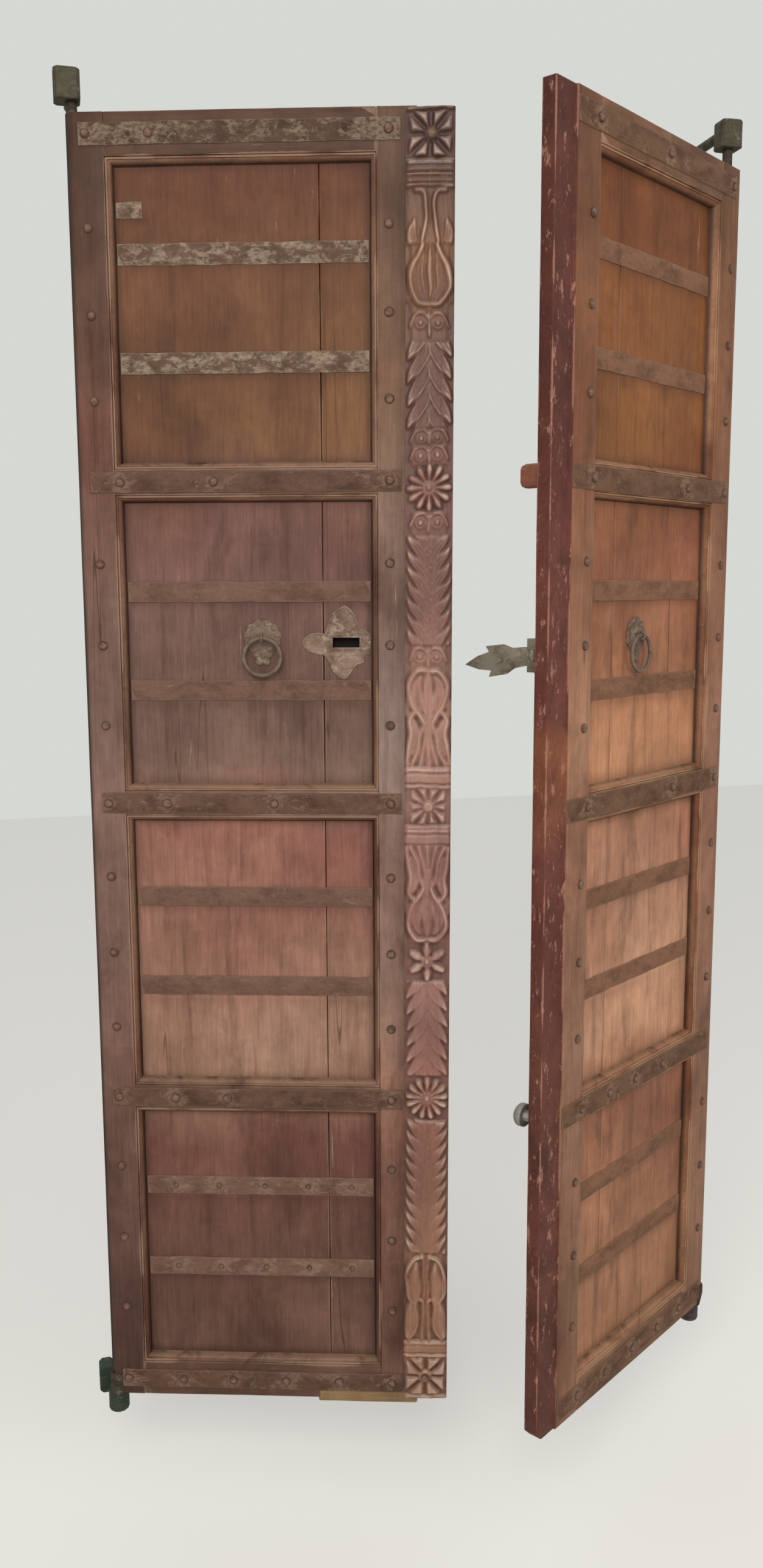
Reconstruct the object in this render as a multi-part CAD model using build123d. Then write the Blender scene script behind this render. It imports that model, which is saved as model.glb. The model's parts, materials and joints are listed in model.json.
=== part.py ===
from build123d import *
import os
from math import atan, cos, pi, sin

# A pair of old carved door leaves that hang on iron pivots in four wall sockets.
# Millimetres, +Z up. The origin is midway between the two pivot axes, level with the foot of the leaves.
# +X runs from the left pivot to the right one and +Y runs into the wall.
# Each leaf is laid out in its own frame: u from its hinge edge, d back from its front face, z up.

# Opening and leaves
pivot_spacing = 1057
leaf_height = 2000
pivot_inset = 5
pivot_depth = 25
left_open_angle = 16.9
right_open_angle = 34.6

# Frame of each leaf
frame_face = 16
hinge_stile_depth = 44
meeting_stile_depth = 27
left_hinge_stile = 56
right_hinge_stile = 68
left_meeting_inner = 449
left_meeting_outer = 508
right_meeting_inner = 438
right_meeting_outer = 548
plank_lap = 16
heel_cut = 8
top_rail = 61
bottom_rail = 58
middle_rail = 38
rail_centres = (1480, 995, 518)
rail_names = ("top", "upper", "middle", "lower", "bottom")
rebate_width = 48
rebate_depth = 3.5
worn_corner = 14
worn_heel_width = 18
worn_heel_height = 36

# Planks and ledgers behind the frame
plank_thickness = 20
plank_end_gap = 6
shrink_gap = 1.2
left_seam = 365
right_seam = 352
ledger_height = 54
ledger_thickness = 22
ledger_setback = 14

# Mouldings round the panels
moulding_width = 11
moulding_slope = 5
moulding_step = 3

# Iron straps
strap_thickness = 2
left_strap_height = 31
right_strap_height = 35
strap_start = 20
strap_end_gap = 2
panel_strap_height = 31
panel_strap_thickness = 1.8
panel_strap_gap = 1
panel_strap_rows = ((0.70, 0.35), (0.68, 0.345), (0.70, 0.37), (0.69, 0.37))
scrap_length = 38
scrap_height = 23
scrap_row = 0.84

# Nails
nail_radius = 8.5
nail_slope = 36
nail_height = 4.5
nail_sides = 6
nail_pitch = 122
nail_inset = 30
meeting_nail_offset = 18
left_rail_nails = ((0, 0.21, 1), (0.08, 0.4, 1), (0, 0.21, 0.59, 1), (0, 0.21, 0.4, 1),
                   (0, 0.21, 0.4, 0.6, 0.8, 1))
right_rail_nails = ((0, 0.5, 0.97), (0, 0.3, 0.97), (0, 0.35, 0.97), (0.37, 0.58, 0.77, 0.97),
                    (0.16, 0.35, 0.55, 0.76, 0.96))
small_nail_radius = 5.5
small_nail_height = 2.4

# Foot of the left leaf
patch_start = 345
patch_top = 16
patch_drop = 7

# Pivots and sockets
pin_radius = 7
tang_width = 8
tang_length = 60
pin_running_gap = 0.05
pin_end_gap = 1
neck_radius = 8.5
neck_sides = 8
neck_gap = 1
left_upper_gap = 21
right_upper_gap = 37
lower_gap = 6
bearing_height = 26
socket_width = 38
socket_depth = 36
socket_height = 44
socket_cut = 5
left_socket_shift = -6
upper_tail_rise = 8
cup_radius = 17
cup_height = 37
cup_sides = 12
shoe_height = 34
shoe_width = 20
shoe_wall = 2.5
wall_distance = 60
tail_radius = 8
tail_embed = 50
lug_width = 20
lug_height = 46
lug_lift = 16
lug_clearance = 29
arm_margin = 2

# Ring pulls
left_ring_u = 272
right_ring_u = 284
ring_centre_z = 1220
ring_radius = 28
wire_radius = 3.6
wire_sides = 6
ring_sides = 24
ring_stand_off = 12
eye_play = 0.7
eye_wall = 3
eye_thickness = 6
eye_sides = 8
rose_radius = 29
rose_lobes = 9
rose_thickness = 2.4
flower_radius = 15

# Lock plate
plate_thickness = 2.2
plate_z = 1241
plate_width = 105
plate_end_gap = 1
plate_end_u = left_meeting_inner - moulding_width - plate_end_gap
plate_tip_u = plate_end_u - plate_width
slot_end_gap = 17
slot_length = 41
slot_height = 15

# Hasp, peg and knob on the back of the right leaf
hasp_edge_gap = 5
hasp_z = 1225
hasp_reach = 123
hasp_thickness = 3
hasp_droop = 8
hasp_axis_depth = 42
hasp_pin_radius = 3
hasp_pin_gap = 0.08
knuckle_radius = 6
knuckle_height = 16
knuckle_gap = 0.4
knuckle_clearance = 3.5
knuckle_sides = 8
hasp_plate_height = 52
hasp_plate_width = 26
stud_radius = 4
stud_height = 8
stud_place = 0.44
peg_edge_gap = 14
peg_height = 34
peg_width = 24
peg_length = 42
knob_radius = 18
knob_neck_radius = 9
knob_sides = 18
knob_length = 38
knob_head = 15
knob_dome = 5
knob_edge_gap = 10
hasp_u = right_meeting_outer - hasp_edge_gap - hasp_plate_width / 2
peg_u = right_meeting_outer - peg_edge_gap - peg_width / 2
knob_u = right_meeting_outer - knob_edge_gap - knob_radius

# Carved post on the left leaf
post_foot = 17
post_head_gap = 9
post_foot_left = 486
post_foot_width = 70
post_head_left = 492
post_head_width = 72
post_ground = 14
post_proud = 24
relief = post_proud - post_ground
chip_slope = 1.5
petal_slope = 0.2
lip = 6
bar_margin = 1
stem_half_width = 3.5
disc_sides = 7
carving_plan = (("block", 75, 8), ("bar", 24, 1), ("palmette", 150, 1), ("rising_spray", 226, 6),
                ("rosette", 72, 10), ("rising_spray", 156, 4), ("rosette", 60, 6),
                ("hanging_palmette", 152, 1), ("bar", 28, 1),
                ("block", 66, 10), ("bar", 28, 1), ("palmette", 150, 1), ("scrolls", 32, 1),
                ("rising_spray", 164, 5), ("scrolls", 34, 1), ("rosette", 66, 12), ("scrolls", 26, 1),
                ("scrolls", 24, 1), ("hanging_spray", 126, 3), ("scrolls", 46, 1), ("tulip", 86, 1),
                ("vase", 80, 1), ("bar", 30, 2), ("block", 73, 8))


post_head = leaf_height - post_head_gap
post_half = post_foot_width / 2


class Leaf:
    """The sizes that the two leaves do not share."""

    def __init__(self, name, side, angle, hinge_stile, meeting, seam, strap_height, ring_u, rail_nails):
        self.name = name
        self.side = side
        self.angle = angle
        self.hinge_stile = hinge_stile
        self.meeting = meeting
        self.seam = seam
        self.strap_height = strap_height
        self.ring_u = ring_u
        self.rail_nails = rail_nails
        self.face_end = post_foot_left if side > 0 else meeting[1] - rebate_width

    def hang(self, shape):
        """Move a shape from the leaf's own frame to its pivot, at the angle it stands open."""
        pivot = Pos(-self.side * pivot_spacing / 2, 0, 0) * Rot(0, 0, -self.side * self.angle)
        return pivot * Pos(-self.side * pivot_inset, -pivot_depth, 0) * shape

    def block(self, u, d, z):
        """A block between two values of u, of d and of z."""
        centre = Pos(self.side * (u[0] + u[1]) / 2, (d[0] + d[1]) / 2, (z[0] + z[1]) / 2)
        return centre * Box(u[1] - u[0], d[1] - d[0], z[1] - z[0])

    def front(self, u, d, z):
        """A plane that faces the front, with local x along +X and local y up."""
        return Plane(origin=(self.side * u, d, z), x_dir=(1, 0, 0), z_dir=(0, -1, 0))


left = Leaf("left", 1, left_open_angle, left_hinge_stile, (left_meeting_inner, left_meeting_outer),
            left_seam, left_strap_height, left_ring_u, left_rail_nails)
right = Leaf("right", -1, right_open_angle, right_hinge_stile, (right_meeting_inner, right_meeting_outer),
             right_seam, right_strap_height, right_ring_u, right_rail_nails)

nodes = {}


def rail_spans():
    """The foot and head of each rail, from the top rail down."""
    middle = [(z - middle_rail / 2, z + middle_rail / 2) for z in rail_centres]
    return [(leaf_height - top_rail, leaf_height)] + middle + [(0, bottom_rail)]


def panel_spans():
    """The foot and head of each panel, from the top panel down."""
    spans = rail_spans()
    return [(below[1], above[0]) for above, below in zip(spans, spans[1:])]


def outline(points):
    """A face from a closed run of corner points on the current plane."""
    return make_face(Polyline(*points, close=True))


def heel_block(leaf, u, z, grow=0):
    """A block of the hinge stile with its heel cut off, grown outward where a shoe wraps it."""
    body = leaf.block((-grow, u), (-grow, hinge_stile_depth + grow), z)
    heel = [edge for edge in body.edges().filter_by(Axis.Z) if abs(edge.center().X) < grow + 1]
    return chamfer(heel, heel_cut)


def stiles(leaf):
    hinge = heel_block(leaf, leaf.hinge_stile, (0, leaf_height))
    hinge -= leaf.block((leaf.hinge_stile - plank_lap, leaf.hinge_stile),
                        (frame_face, hinge_stile_depth), (0, leaf_height))
    for z in (0, leaf_height):
        hinge -= Pos(leaf.side * pivot_inset, pivot_depth, z) * Box(tang_width, tang_width, 2 * tang_length)
    meeting = leaf.block(leaf.meeting, (0, meeting_stile_depth), (0, leaf_height))
    meeting -= leaf.block((leaf.meeting[0], leaf.meeting[0] + plank_lap),
                          (frame_face, meeting_stile_depth), (0, leaf_height))
    return hinge, meeting


def rail(leaf, span):
    return leaf.block((leaf.hinge_stile, leaf.meeting[0]), (0, frame_face), span)


def planks(leaf):
    depth = (frame_face, frame_face + plank_thickness)
    height = (plank_end_gap, leaf_height - plank_end_gap)
    wide = leaf.block((leaf.hinge_stile - plank_lap, leaf.seam - shrink_gap / 2), depth, height)
    narrow = leaf.block((leaf.seam + shrink_gap / 2, leaf.meeting[0] + plank_lap), depth, height)
    return wide, narrow


def ledgers(leaf):
    depth = (frame_face + plank_thickness, frame_face + plank_thickness + ledger_thickness)
    width = (leaf.hinge_stile, leaf.meeting[0] + plank_lap - ledger_setback)
    bars = []
    for low, high in rail_spans():
        middle = (low + high) / 2
        bars.append(leaf.block(width, depth, (middle - ledger_height / 2, middle + ledger_height / 2)))
    return bars


def moulding(leaf, span):
    """A mitred frame whose inner face slopes down to the planks."""
    u = (leaf.hinge_stile, leaf.meeting[0])
    middle = Pos(leaf.side * (u[0] + u[1]) / 2, 0, (span[0] + span[1]) / 2)
    width = u[1] - u[0]
    height = span[1] - span[0]
    mouth = moulding_width - moulding_slope
    frame = leaf.block(u, (moulding_step, frame_face), span)
    near = Plane(origin=(0, moulding_step, 0), x_dir=(1, 0, 0), z_dir=(0, 1, 0))
    far = Plane(origin=(0, frame_face, 0), x_dir=(1, 0, 0), z_dir=(0, 1, 0))
    well = loft([near * Rectangle(width - 2 * mouth, height - 2 * mouth),
                 far * Rectangle(width - 2 * moulding_width, height - 2 * moulding_width)])
    return frame - middle * well


def rail_strap(leaf, span):
    middle = (span[0] + span[1]) / 2
    half = leaf.strap_height / 2
    return leaf.block((strap_start, leaf.face_end - strap_end_gap), (-strap_thickness, 0),
                      (middle - half, middle + half))


def panel_strap_levels():
    """The middle of each strap that crosses a panel."""
    return [low + share * (high - low)
            for (low, high), shares in zip(panel_spans(), panel_strap_rows) for share in shares]


def panel_straps(leaf):
    inside = moulding_width + panel_strap_gap
    u = (leaf.hinge_stile + inside, leaf.meeting[0] - inside)
    depth = (frame_face - panel_strap_thickness, frame_face)
    half = panel_strap_height / 2
    straps = [leaf.block(u, depth, (z - half, z + half)) for z in panel_strap_levels()]
    if leaf is left:
        low, high = panel_spans()[0]
        z = low + scrap_row * (high - low)
        straps.append(leaf.block((u[0], u[0] + scrap_length), depth,
                                 (z - scrap_height / 2, z + scrap_height / 2)))
    return straps


def nail(leaf, u, d, z, radius=nail_radius, height=nail_height):
    """A nail head hammered to a few flats."""
    return leaf.front(u, d, z) * extrude(RegularPolygon(radius, nail_sides), height, taper=nail_slope)


def frame_nails(leaf):
    heads = []
    columns = (nail_inset, leaf.meeting[0] + meeting_nail_offset)
    for low, high in panel_spans():
        for step in (-1, 0, 1):
            heads += [nail(leaf, u, 0, (low + high) / 2 + step * nail_pitch) for u in columns]
    for (low, high), shares in zip(rail_spans(), leaf.rail_nails):
        for share in shares:
            u = columns[0] + share * (columns[1] - columns[0])
            heads.append(nail(leaf, u, -strap_thickness, (low + high) / 2))
    return heads


def strap_nails(leaf):
    """The small nails of the lowest pair of panel straps."""
    heads = []
    u0 = leaf.hinge_stile
    u1 = leaf.meeting[0]
    for z in panel_strap_levels()[-2:]:
        for part in (0.15, 0.33, 0.52, 0.70, 0.88):
            heads.append(nail(leaf, u0 + part * (u1 - u0), frame_face - panel_strap_thickness, z,
                              small_nail_radius, small_nail_height))
    return heads


def worn_heel(leaf):
    """The wedge that is worn off a leaf's heel, through the stile and its shoe."""
    out = 2 * shoe_wall
    back = hinge_stile_depth + out
    corner = outline([(-leaf.side * out, -out), (leaf.side * worn_heel_width, -out),
                      (-leaf.side * out, worn_heel_height)])
    return extrude(leaf.front(0, back, 0) * corner, back + out)


def pivot(gap):
    """A forged pivot: a square tang below height 0, a faceted neck and a round pin that starts at the gap."""
    tang = Pos(0, 0, -tang_length / 2) * Box(tang_width, tang_width, tang_length)
    neck = extrude(RegularPolygon(neck_radius, neck_sides), gap - neck_gap)
    pin = Cylinder(pin_radius, gap + bearing_height - pin_end_gap,
                   align=(Align.CENTER, Align.CENTER, Align.MIN))
    return tang + neck + pin


def pivots(leaf, upper_gap):
    """The upper pivot, and the lower one with the iron shoe that wraps the heel of the stile."""
    place = Pos(leaf.side * pivot_inset, pivot_depth, 0)
    upper = place * Pos(0, 0, leaf_height) * pivot(upper_gap)
    lower = place * Rot(180, 0, 0) * pivot(lower_gap)
    shoe = heel_block(leaf, shoe_width, (-shoe_wall, shoe_height), shoe_wall)
    shoe -= heel_block(leaf, leaf.hinge_stile, (0, leaf_height))
    if leaf is right:
        shoe -= worn_heel(leaf)
    return upper, lower + shoe


def tail(z):
    """The round spike that holds a socket in the wall."""
    return Pos(0, 0, z) * Rot(-90, 0, 0) * Cylinder(
        tail_radius, wall_distance + tail_embed, align=(Align.CENTER, Align.CENTER, Align.MIN))


def bearing(z, direction):
    """The blind bore that a pivot runs in, from its mouth at z."""
    hole = Cylinder(pin_radius + pin_running_gap, bearing_height,
                    align=(Align.CENTER, Align.CENTER, Align.MIN))
    return Pos(0, 0, z) * (hole if direction > 0 else Rot(180, 0, 0) * hole)


def upper_socket(leaf, gap, shift):
    """A forged block on a wall tail, with its edges beaten off and a blind bore from below."""
    foot = leaf_height + gap
    middle = foot + socket_height / 2
    body = Pos(shift, 0, middle) * Box(socket_width, socket_depth, socket_height)
    body = chamfer(body.edges().filter_by(Axis.Z), socket_cut)
    body = chamfer(body.faces().sort_by(Axis.Z)[-1].edges(), socket_cut / 2)
    body += tail(middle + upper_tail_rise)
    body -= bearing(foot, 1)
    return Pos(-leaf.side * pivot_spacing / 2, 0, 0) * body


def lower_socket(leaf):
    """A cup on a stout arm from the wall, with a blind bore from above."""
    top = -lower_gap
    middle = top - cup_height / 2
    cup = Pos(0, 0, top - cup_height) * extrude(RegularPolygon(cup_radius, cup_sides), cup_height)
    cup = chamfer(cup.faces().sort_by(Axis.Z)[0].edges(), socket_cut / 2)
    arm = 2 * (tail_radius + arm_margin)
    body = cup + Pos(0, wall_distance / 2, middle) * Box(arm, wall_distance, arm) + tail(middle)
    if leaf is left:
        body += wall_lug(middle)
    body -= bearing(top, -1)
    return Pos(-leaf.side * pivot_spacing / 2, 0, 0) * body


def wall_lug(z):
    """The bracket beside the left cup, kept clear of the heel's swing."""
    lug = Pos(-(lug_width / 2 + tail_radius), (lug_clearance + wall_distance) / 2, z + lug_lift) * Box(
        lug_width + 2 * arm_margin, wall_distance - lug_clearance, lug_height)
    return chamfer(lug.edges().filter_by(Axis.Y), socket_cut)


def ring(leaf):
    """A forged ring of six-sided wire, hammered round in short flats, that hangs in its eye."""
    step = 2 * pi / ring_sides
    path = Polyline(*[(ring_radius * cos((k + 0.5) * step), ring_radius * sin((k + 0.5) * step))
                      for k in range(ring_sides)], close=True)
    section = Plane.XZ * Pos(ring_radius * cos(step / 2), 0) * RegularPolygon(wire_radius, wire_sides)
    hoop = sweep(section, path=Wire(path.edges()), transition=Transition.RIGHT)
    return leaf.front(leaf.ring_u, frame_face - ring_stand_off, ring_centre_z) * hoop


def ring_rose(leaf):
    """A scalloped plate with a flower below it and the eye that holds the ring."""
    eye_z = ring_centre_z + ring_radius
    face = leaf.front(leaf.ring_u, frame_face, eye_z)
    points = []
    for index in range(2 * rose_lobes):
        radius = rose_radius if index % 2 == 0 else rose_radius * 0.82
        angle = pi / 2 + index * pi / rose_lobes
        points.append((radius * cos(angle), radius * sin(angle)))
    plate = outline(points) + Pos(0, -ring_radius) * RegularPolygon(flower_radius, rose_lobes)
    body = face * extrude(plate, rose_thickness)
    hole = wire_radius + eye_play
    outer = hole + eye_wall
    post_length = ring_stand_off - rose_thickness
    eye = Box(eye_thickness, 2 * outer, post_length, align=(Align.CENTER, Align.CENTER, Align.MIN))
    eye = Pos(0, 0, rose_thickness) * eye
    barrel = extrude(RegularPolygon(outer, eye_sides), eye_thickness / 2, both=True)
    eye += Pos(0, 0, ring_stand_off) * Rot(0, 90, 0) * barrel
    eye -= Pos(0, 0, ring_stand_off) * Rot(0, 90, 0) * Cylinder(hole, 3 * eye_thickness)
    return body + face * eye


def lock_slot():
    end = plate_end_u - slot_end_gap
    return left.block((end - slot_length, end), (0, frame_face + 2 * plank_thickness),
                      (plate_z - slot_height / 2, plate_z + slot_height / 2))


def lock_plate():
    """A pointed, lobed plate round the slot, as tall as the straps above and below it allow."""
    room = min(abs(z - plate_z) for z in panel_strap_levels()) - panel_strap_height / 2 - panel_strap_gap
    half = [(0.29, 0.31), (0.38, 0.49), (0.46, 0.8), (0.63, 1), (0.78, 0.8), (0.88, 0.46), (1, 0.31)]
    upper = [(plate_width * along, room * share) for along, share in half]
    points = [(0, 0)] + upper + [(x, -y) for x, y in reversed(upper)]
    plate = left.front(plate_tip_u, frame_face, plate_z) * extrude(outline(points), plate_thickness)
    return plate - lock_slot()


def hasp_frame():
    """The hasp's own frame: x along its reach, y to its visible face, z up."""
    return Pos(right.side * hasp_u, hasp_axis_depth, hasp_z) * Rot(0, 0, 90)


def hasp_base():
    """A back plate with two knuckles and the pin that the hasp turns on."""
    seat = meeting_stile_depth
    plate = right.block((hasp_u - hasp_plate_width / 2, hasp_u + hasp_plate_width / 2),
                        (seat, seat + hasp_thickness),
                        (hasp_z - hasp_plate_height / 2, hasp_z + hasp_plate_height / 2))
    axis = Pos(right.side * hasp_u, hasp_axis_depth, hasp_z)
    spacing = knuckle_height + knuckle_gap
    web = hasp_axis_depth - seat + knuckle_radius
    base = plate + axis * Cylinder(hasp_pin_radius, 2 * spacing)
    for way in (-1, 1):
        base += axis * Pos(0, knuckle_radius - web / 2, way * spacing) * Box(
            2 * knuckle_radius, web, knuckle_height)
    return base


def hasp():
    """A three-lobed pointed plate on a knuckle, with a stud for the padlock."""
    half = [(0, 13), (0.28, 15), (0.40, 22), (0.66, 23), (0.62, 14), (0.80, 10)]
    upper = [(hasp_reach * share, height) for share, height in half]
    points = upper + [(hasp_reach, 0)] + [(x, -y) for x, y in reversed(upper)]
    plate = extrude(Plane.XZ * outline(points), hasp_thickness / 2, both=True)
    plate = Rot(0, hasp_droop, 0) * plate
    keep = Pos(hasp_reach / 2 + knuckle_radius / 2, 0, 0) * Box(
        hasp_reach * 1.1, hasp_thickness * 4, hasp_plate_height * 2)
    plate &= keep
    plate -= Cylinder(knuckle_radius + knuckle_clearance, hasp_plate_height * 2)
    reach = knuckle_radius + 2 * knuckle_clearance
    neck = Pos(reach / 2, 0, 0) * Box(reach, hasp_thickness, knuckle_height)
    barrel = extrude(RegularPolygon(knuckle_radius, knuckle_sides), knuckle_height / 2, both=True)
    body = plate + neck + barrel
    stud = Rot(-90, 0, 0) * Cylinder(stud_radius, hasp_thickness / 2 + stud_height,
                                     align=(Align.CENTER, Align.CENTER, Align.MIN))
    body += Rot(0, hasp_droop, 0) * Pos(hasp_reach * stud_place, 0, 0) * stud
    body -= Cylinder(hasp_pin_radius + hasp_pin_gap, hasp_plate_height)
    return hasp_frame() * body


def back_peg():
    z = rail_centres[0]
    peg = right.block((peg_u - peg_width / 2, peg_u + peg_width / 2),
                      (meeting_stile_depth, meeting_stile_depth + peg_length),
                      (z - peg_height / 2, z + peg_height / 2))
    return chamfer(peg.faces().sort_by(Axis.Y)[-1].edges(), peg_width / 4)


def back_knob():
    """A turned knob on a neck."""
    neck = extrude(RegularPolygon(knob_neck_radius, neck_sides), knob_length - knob_head)
    head = Pos(0, 0, knob_length - knob_head) * extrude(RegularPolygon(knob_radius, knob_sides), knob_head)
    head = chamfer(head.faces().sort_by(Axis.Z)[-1].edges(), knob_dome)
    knob = Rot(-90, 0, 0) * (neck + head)
    return Pos(right.side * knob_u, meeting_stile_depth, rail_centres[2]) * knob


def post_centre(z):
    """The middle of the carved post at a height."""
    part = (z - post_foot) / (post_head - post_foot)
    foot = post_foot_left + post_foot_width / 2
    head = post_head_left + post_head_width / 2
    return foot + part * (head - foot)


def chip(points, rise=relief, slope=chip_slope):
    """One cut form of the carving on the ground of the post, its top drawn in by the slope."""
    form = extrude(outline(points), rise, taper=atan(slope / rise) * 180 / pi)
    return left.front(0, -post_ground, 0) * form


def turned(points, u, z, angle):
    """Points in the carving's plane, turned about the origin and moved to u and z."""
    c = cos(angle * pi / 180)
    s = sin(angle * pi / 180)
    return [(u + x * c - y * s, z + x * s + y * c) for x, y in points]


def petal(u, z, angle, length, width, rise=relief * 0.7):
    shape = [(0, -width * 0.2), (length * 0.6, -width / 2), (length, 0),
             (length * 0.6, width / 2), (0, width * 0.2)]
    return chip(turned(shape, u, z, angle), rise, width * petal_slope)


def disc(u, z, radius, rise=relief, sides=disc_sides):
    shape = [(radius * cos(2 * pi * k / sides), radius * sin(2 * pi * k / sides)) for k in range(sides)]
    return chip(turned(shape, u, z, 180 / sides), rise)


def rosette(low, high, petals):
    """A ring of petals round a boss, as large as its space allows."""
    z = (low + high) / 2
    u = post_centre(z)
    radius = min((high - low) / 2 - 2, post_half - 3)
    width = 2 * pi * radius * 0.72 / petals
    forms = [petal(u, z, 90 + 360 * k / petals, radius, width) for k in range(petals)]
    return forms + [disc(u, z, radius * 0.3)]


def spray(low, high, pairs, droop):
    """Pairs of leaves on a stem: rising ones have a positive droop angle, hanging ones a negative one."""
    foot = post_centre(low)
    head = post_centre(high)
    forms = [chip([(foot - stem_half_width, low + 4), (foot + stem_half_width, low + 4),
                   (head + stem_half_width, high - 4), (head - stem_half_width, high - 4)], relief * 0.6)]
    pitch = (high - low) / pairs
    length = (post_half - 8) / cos(droop * pi / 180)
    for k in range(pairs):
        z = low + pitch * (k + (0.1 if droop > 0 else 0.9))
        u = post_centre(z)
        for way in (-1, 1):
            angle = droop if way > 0 else 180 - droop
            forms.append(petal(u + 4.5 * way, z, angle, min(length, pitch * 1.25), min(pitch * 0.52, 20)))
    return forms


def rising_spray(low, high, pairs):
    return spray(low, high, pairs, 47)


def hanging_spray(low, high, pairs):
    return spray(low, high, pairs, -50)


def fan(low, high, way):
    """Petals that open upward or downward from a root with a scroll at each side."""
    u = post_centre((low + high) / 2)
    root = (low if way > 0 else high) + way * 20
    span = high - low - 26
    forms = [petal(u, root, way * 90, span, 19, relief * 0.8)]
    for side in (-1, 1):
        forms.append(petal(u + 5 * side, root, way * (90 - side * 19), min(span * 0.86, post_half * 2.6), 17,
                           relief * 0.65))
        forms.append(petal(u + 9 * side, root, way * (90 - side * 42), min(span * 0.36, post_half), 14,
                           relief * 0.6))
        forms.append(disc(u + 21 * side, root - way * 4, 9, relief * 0.8))
    return forms


def palmette(low, high, count):
    return fan(low, high, 1)


def hanging_palmette(low, high, count):
    return fan(low, high, -1)


def scrolls(low, high, count):
    z = (low + high) / 2
    u = post_centre(z)
    radius = min((high - low) / 2 - 2, post_half / 2 - 4)
    return [disc(u + way * (radius + 3), z, radius, relief * 0.8) for way in (-1, 1)]


def bar(low, high, count):
    """Raised bars across the post."""
    half = post_half - bar_margin
    pitch = (high - low) / count
    bars = []
    for k in range(count):
        foot = low + pitch * (k + 0.16)
        head = low + pitch * (k + 0.84)
        u = post_centre((foot + head) / 2)
        bars.append(chip([(u - half, foot), (u + half, foot), (u + half, head), (u - half, head)],
                         relief * 0.75))
    return bars


def block(low, high, petals):
    """A square panel with a lip above and below its rosette."""
    half = post_half - bar_margin
    forms = rosette(low + lip, high - lip, petals)
    for foot in (low + 1, high - 1 - lip):
        u = post_centre(foot)
        head = foot + lip
        forms.append(chip([(u - half, foot), (u + half, foot), (u + half, head), (u - half, head)],
                          relief * 0.5))
    return forms


def tulip(low, high, count):
    """A bud between two pairs of leaves that curl round it."""
    u = post_centre(low)
    length = high - low - 4
    forms = [petal(u, low + 4, 90, length * 0.8, 17)]
    for way in (-1, 1):
        forms.append(petal(u + 10 * way, low + 4, 90 - 24 * way, length * 0.62, 18, relief * 0.9))
        forms.append(petal(u + 27 * way, low + length * 0.36, 90 + 13 * way, length * 0.6, 13, relief * 0.9))
    return forms


def vase(low, high, count):
    """A plain worn panel between two bars, with a bud on it."""
    u = post_centre(low)
    forms = bar(low, low + 14, 1) + bar(high - 14, high, 1)
    return forms + [petal(u, low + 16, 90, high - low - 34, 20, relief * 0.4)]


motifs = {"block": block, "bar": bar, "palmette": palmette, "hanging_palmette": hanging_palmette,
          "rising_spray": rising_spray, "hanging_spray": hanging_spray, "rosette": rosette,
          "scrolls": scrolls, "tulip": tulip, "vase": vase}


def carving():
    """The forms of the post, its sections stacked from foot to head to fill its height."""
    scale = (post_head - post_foot) / sum(height for motif, height, count in carving_plan)
    forms = []
    low = post_foot
    for motif, height, count in carving_plan:
        high = low + height * scale
        forms += motifs[motif](low, high, count)
        low = high
    return forms


def carved_post():
    corners = [(post_foot_left, post_foot), (post_foot_left + post_foot_width, post_foot),
               (post_head_left + post_head_width, post_head), (post_head_left, post_head)]
    board = extrude(left.front(0, 0, 0) * outline(corners), post_ground)
    return board + carving()


def post_nails():
    """A big nail in the rosette at each end of the post."""
    inset = carving_plan[0][1] / 2
    return [nail(left, post_centre(z), -post_proud, z) for z in (post_foot + inset, post_head - inset)]


def foot_patch():
    u = (patch_start, left.meeting[1])
    return left.block(u, (0, frame_face), (-patch_drop, patch_top))


def build_leaf(leaf, upper_gap):
    name = leaf.name
    hinge, meeting = stiles(leaf)
    upper, lower = pivots(leaf, upper_gap)
    if leaf is right:
        meeting -= leaf.block((leaf.meeting[1] - rebate_width, leaf.meeting[1]), (0, rebate_depth),
                              (0, leaf_height))
        foot = [edge for edge in meeting.edges().filter_by(Axis.Y) if edge.center().Z < 1
                and abs(edge.center().X) > leaf.meeting[1] - 1]
        meeting = chamfer(foot, worn_corner)
        hinge -= worn_heel(leaf)
    nodes[name + "_hinge_stile"] = hinge
    nodes[name + "_meeting_stile"] = meeting
    for label, span in zip(rail_names, rail_spans()):
        nodes[name + "_" + label + "_rail"] = rail(leaf, span)
        nodes[name + "_" + label + "_strap"] = rail_strap(leaf, span)
    for index, span in enumerate(panel_spans()):
        nodes[name + "_moulding_" + str(index + 1)] = moulding(leaf, span)
    nodes[name + "_ledgers"] = ledgers(leaf)
    nodes[name + "_panel_straps"] = panel_straps(leaf)
    nodes[name + "_upper_pivot"] = upper
    nodes[name + "_lower_pivot"] = lower
    nodes[name + "_ring_rose"] = ring_rose(leaf)
    nodes[name + "_ring"] = ring(leaf)


def build_left():
    build_leaf(left, left_upper_gap)
    slot = lock_slot()
    wide, narrow = planks(left)
    patch = foot_patch()
    nodes["left_wide_plank"] = wide
    nodes["left_narrow_plank"] = narrow - slot
    nodes["left_bottom_rail"] -= patch
    nodes["left_meeting_stile"] -= patch
    nodes["left_foot_patch"] = patch
    nodes["left_nails"] = frame_nails(left) + strap_nails(left) + post_nails()
    nodes["left_lock_plate"] = lock_plate()
    nodes["left_carved_post"] = carved_post()


def build_right():
    build_leaf(right, right_upper_gap)
    nodes["right_planks"] = list(planks(right))
    nodes["right_nails"] = frame_nails(right)
    nodes["right_hasp_base"] = hasp_base()
    nodes["right_hasp"] = hasp()
    nodes["right_back_peg"] = back_peg()
    nodes["right_back_knob"] = back_knob()


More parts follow.
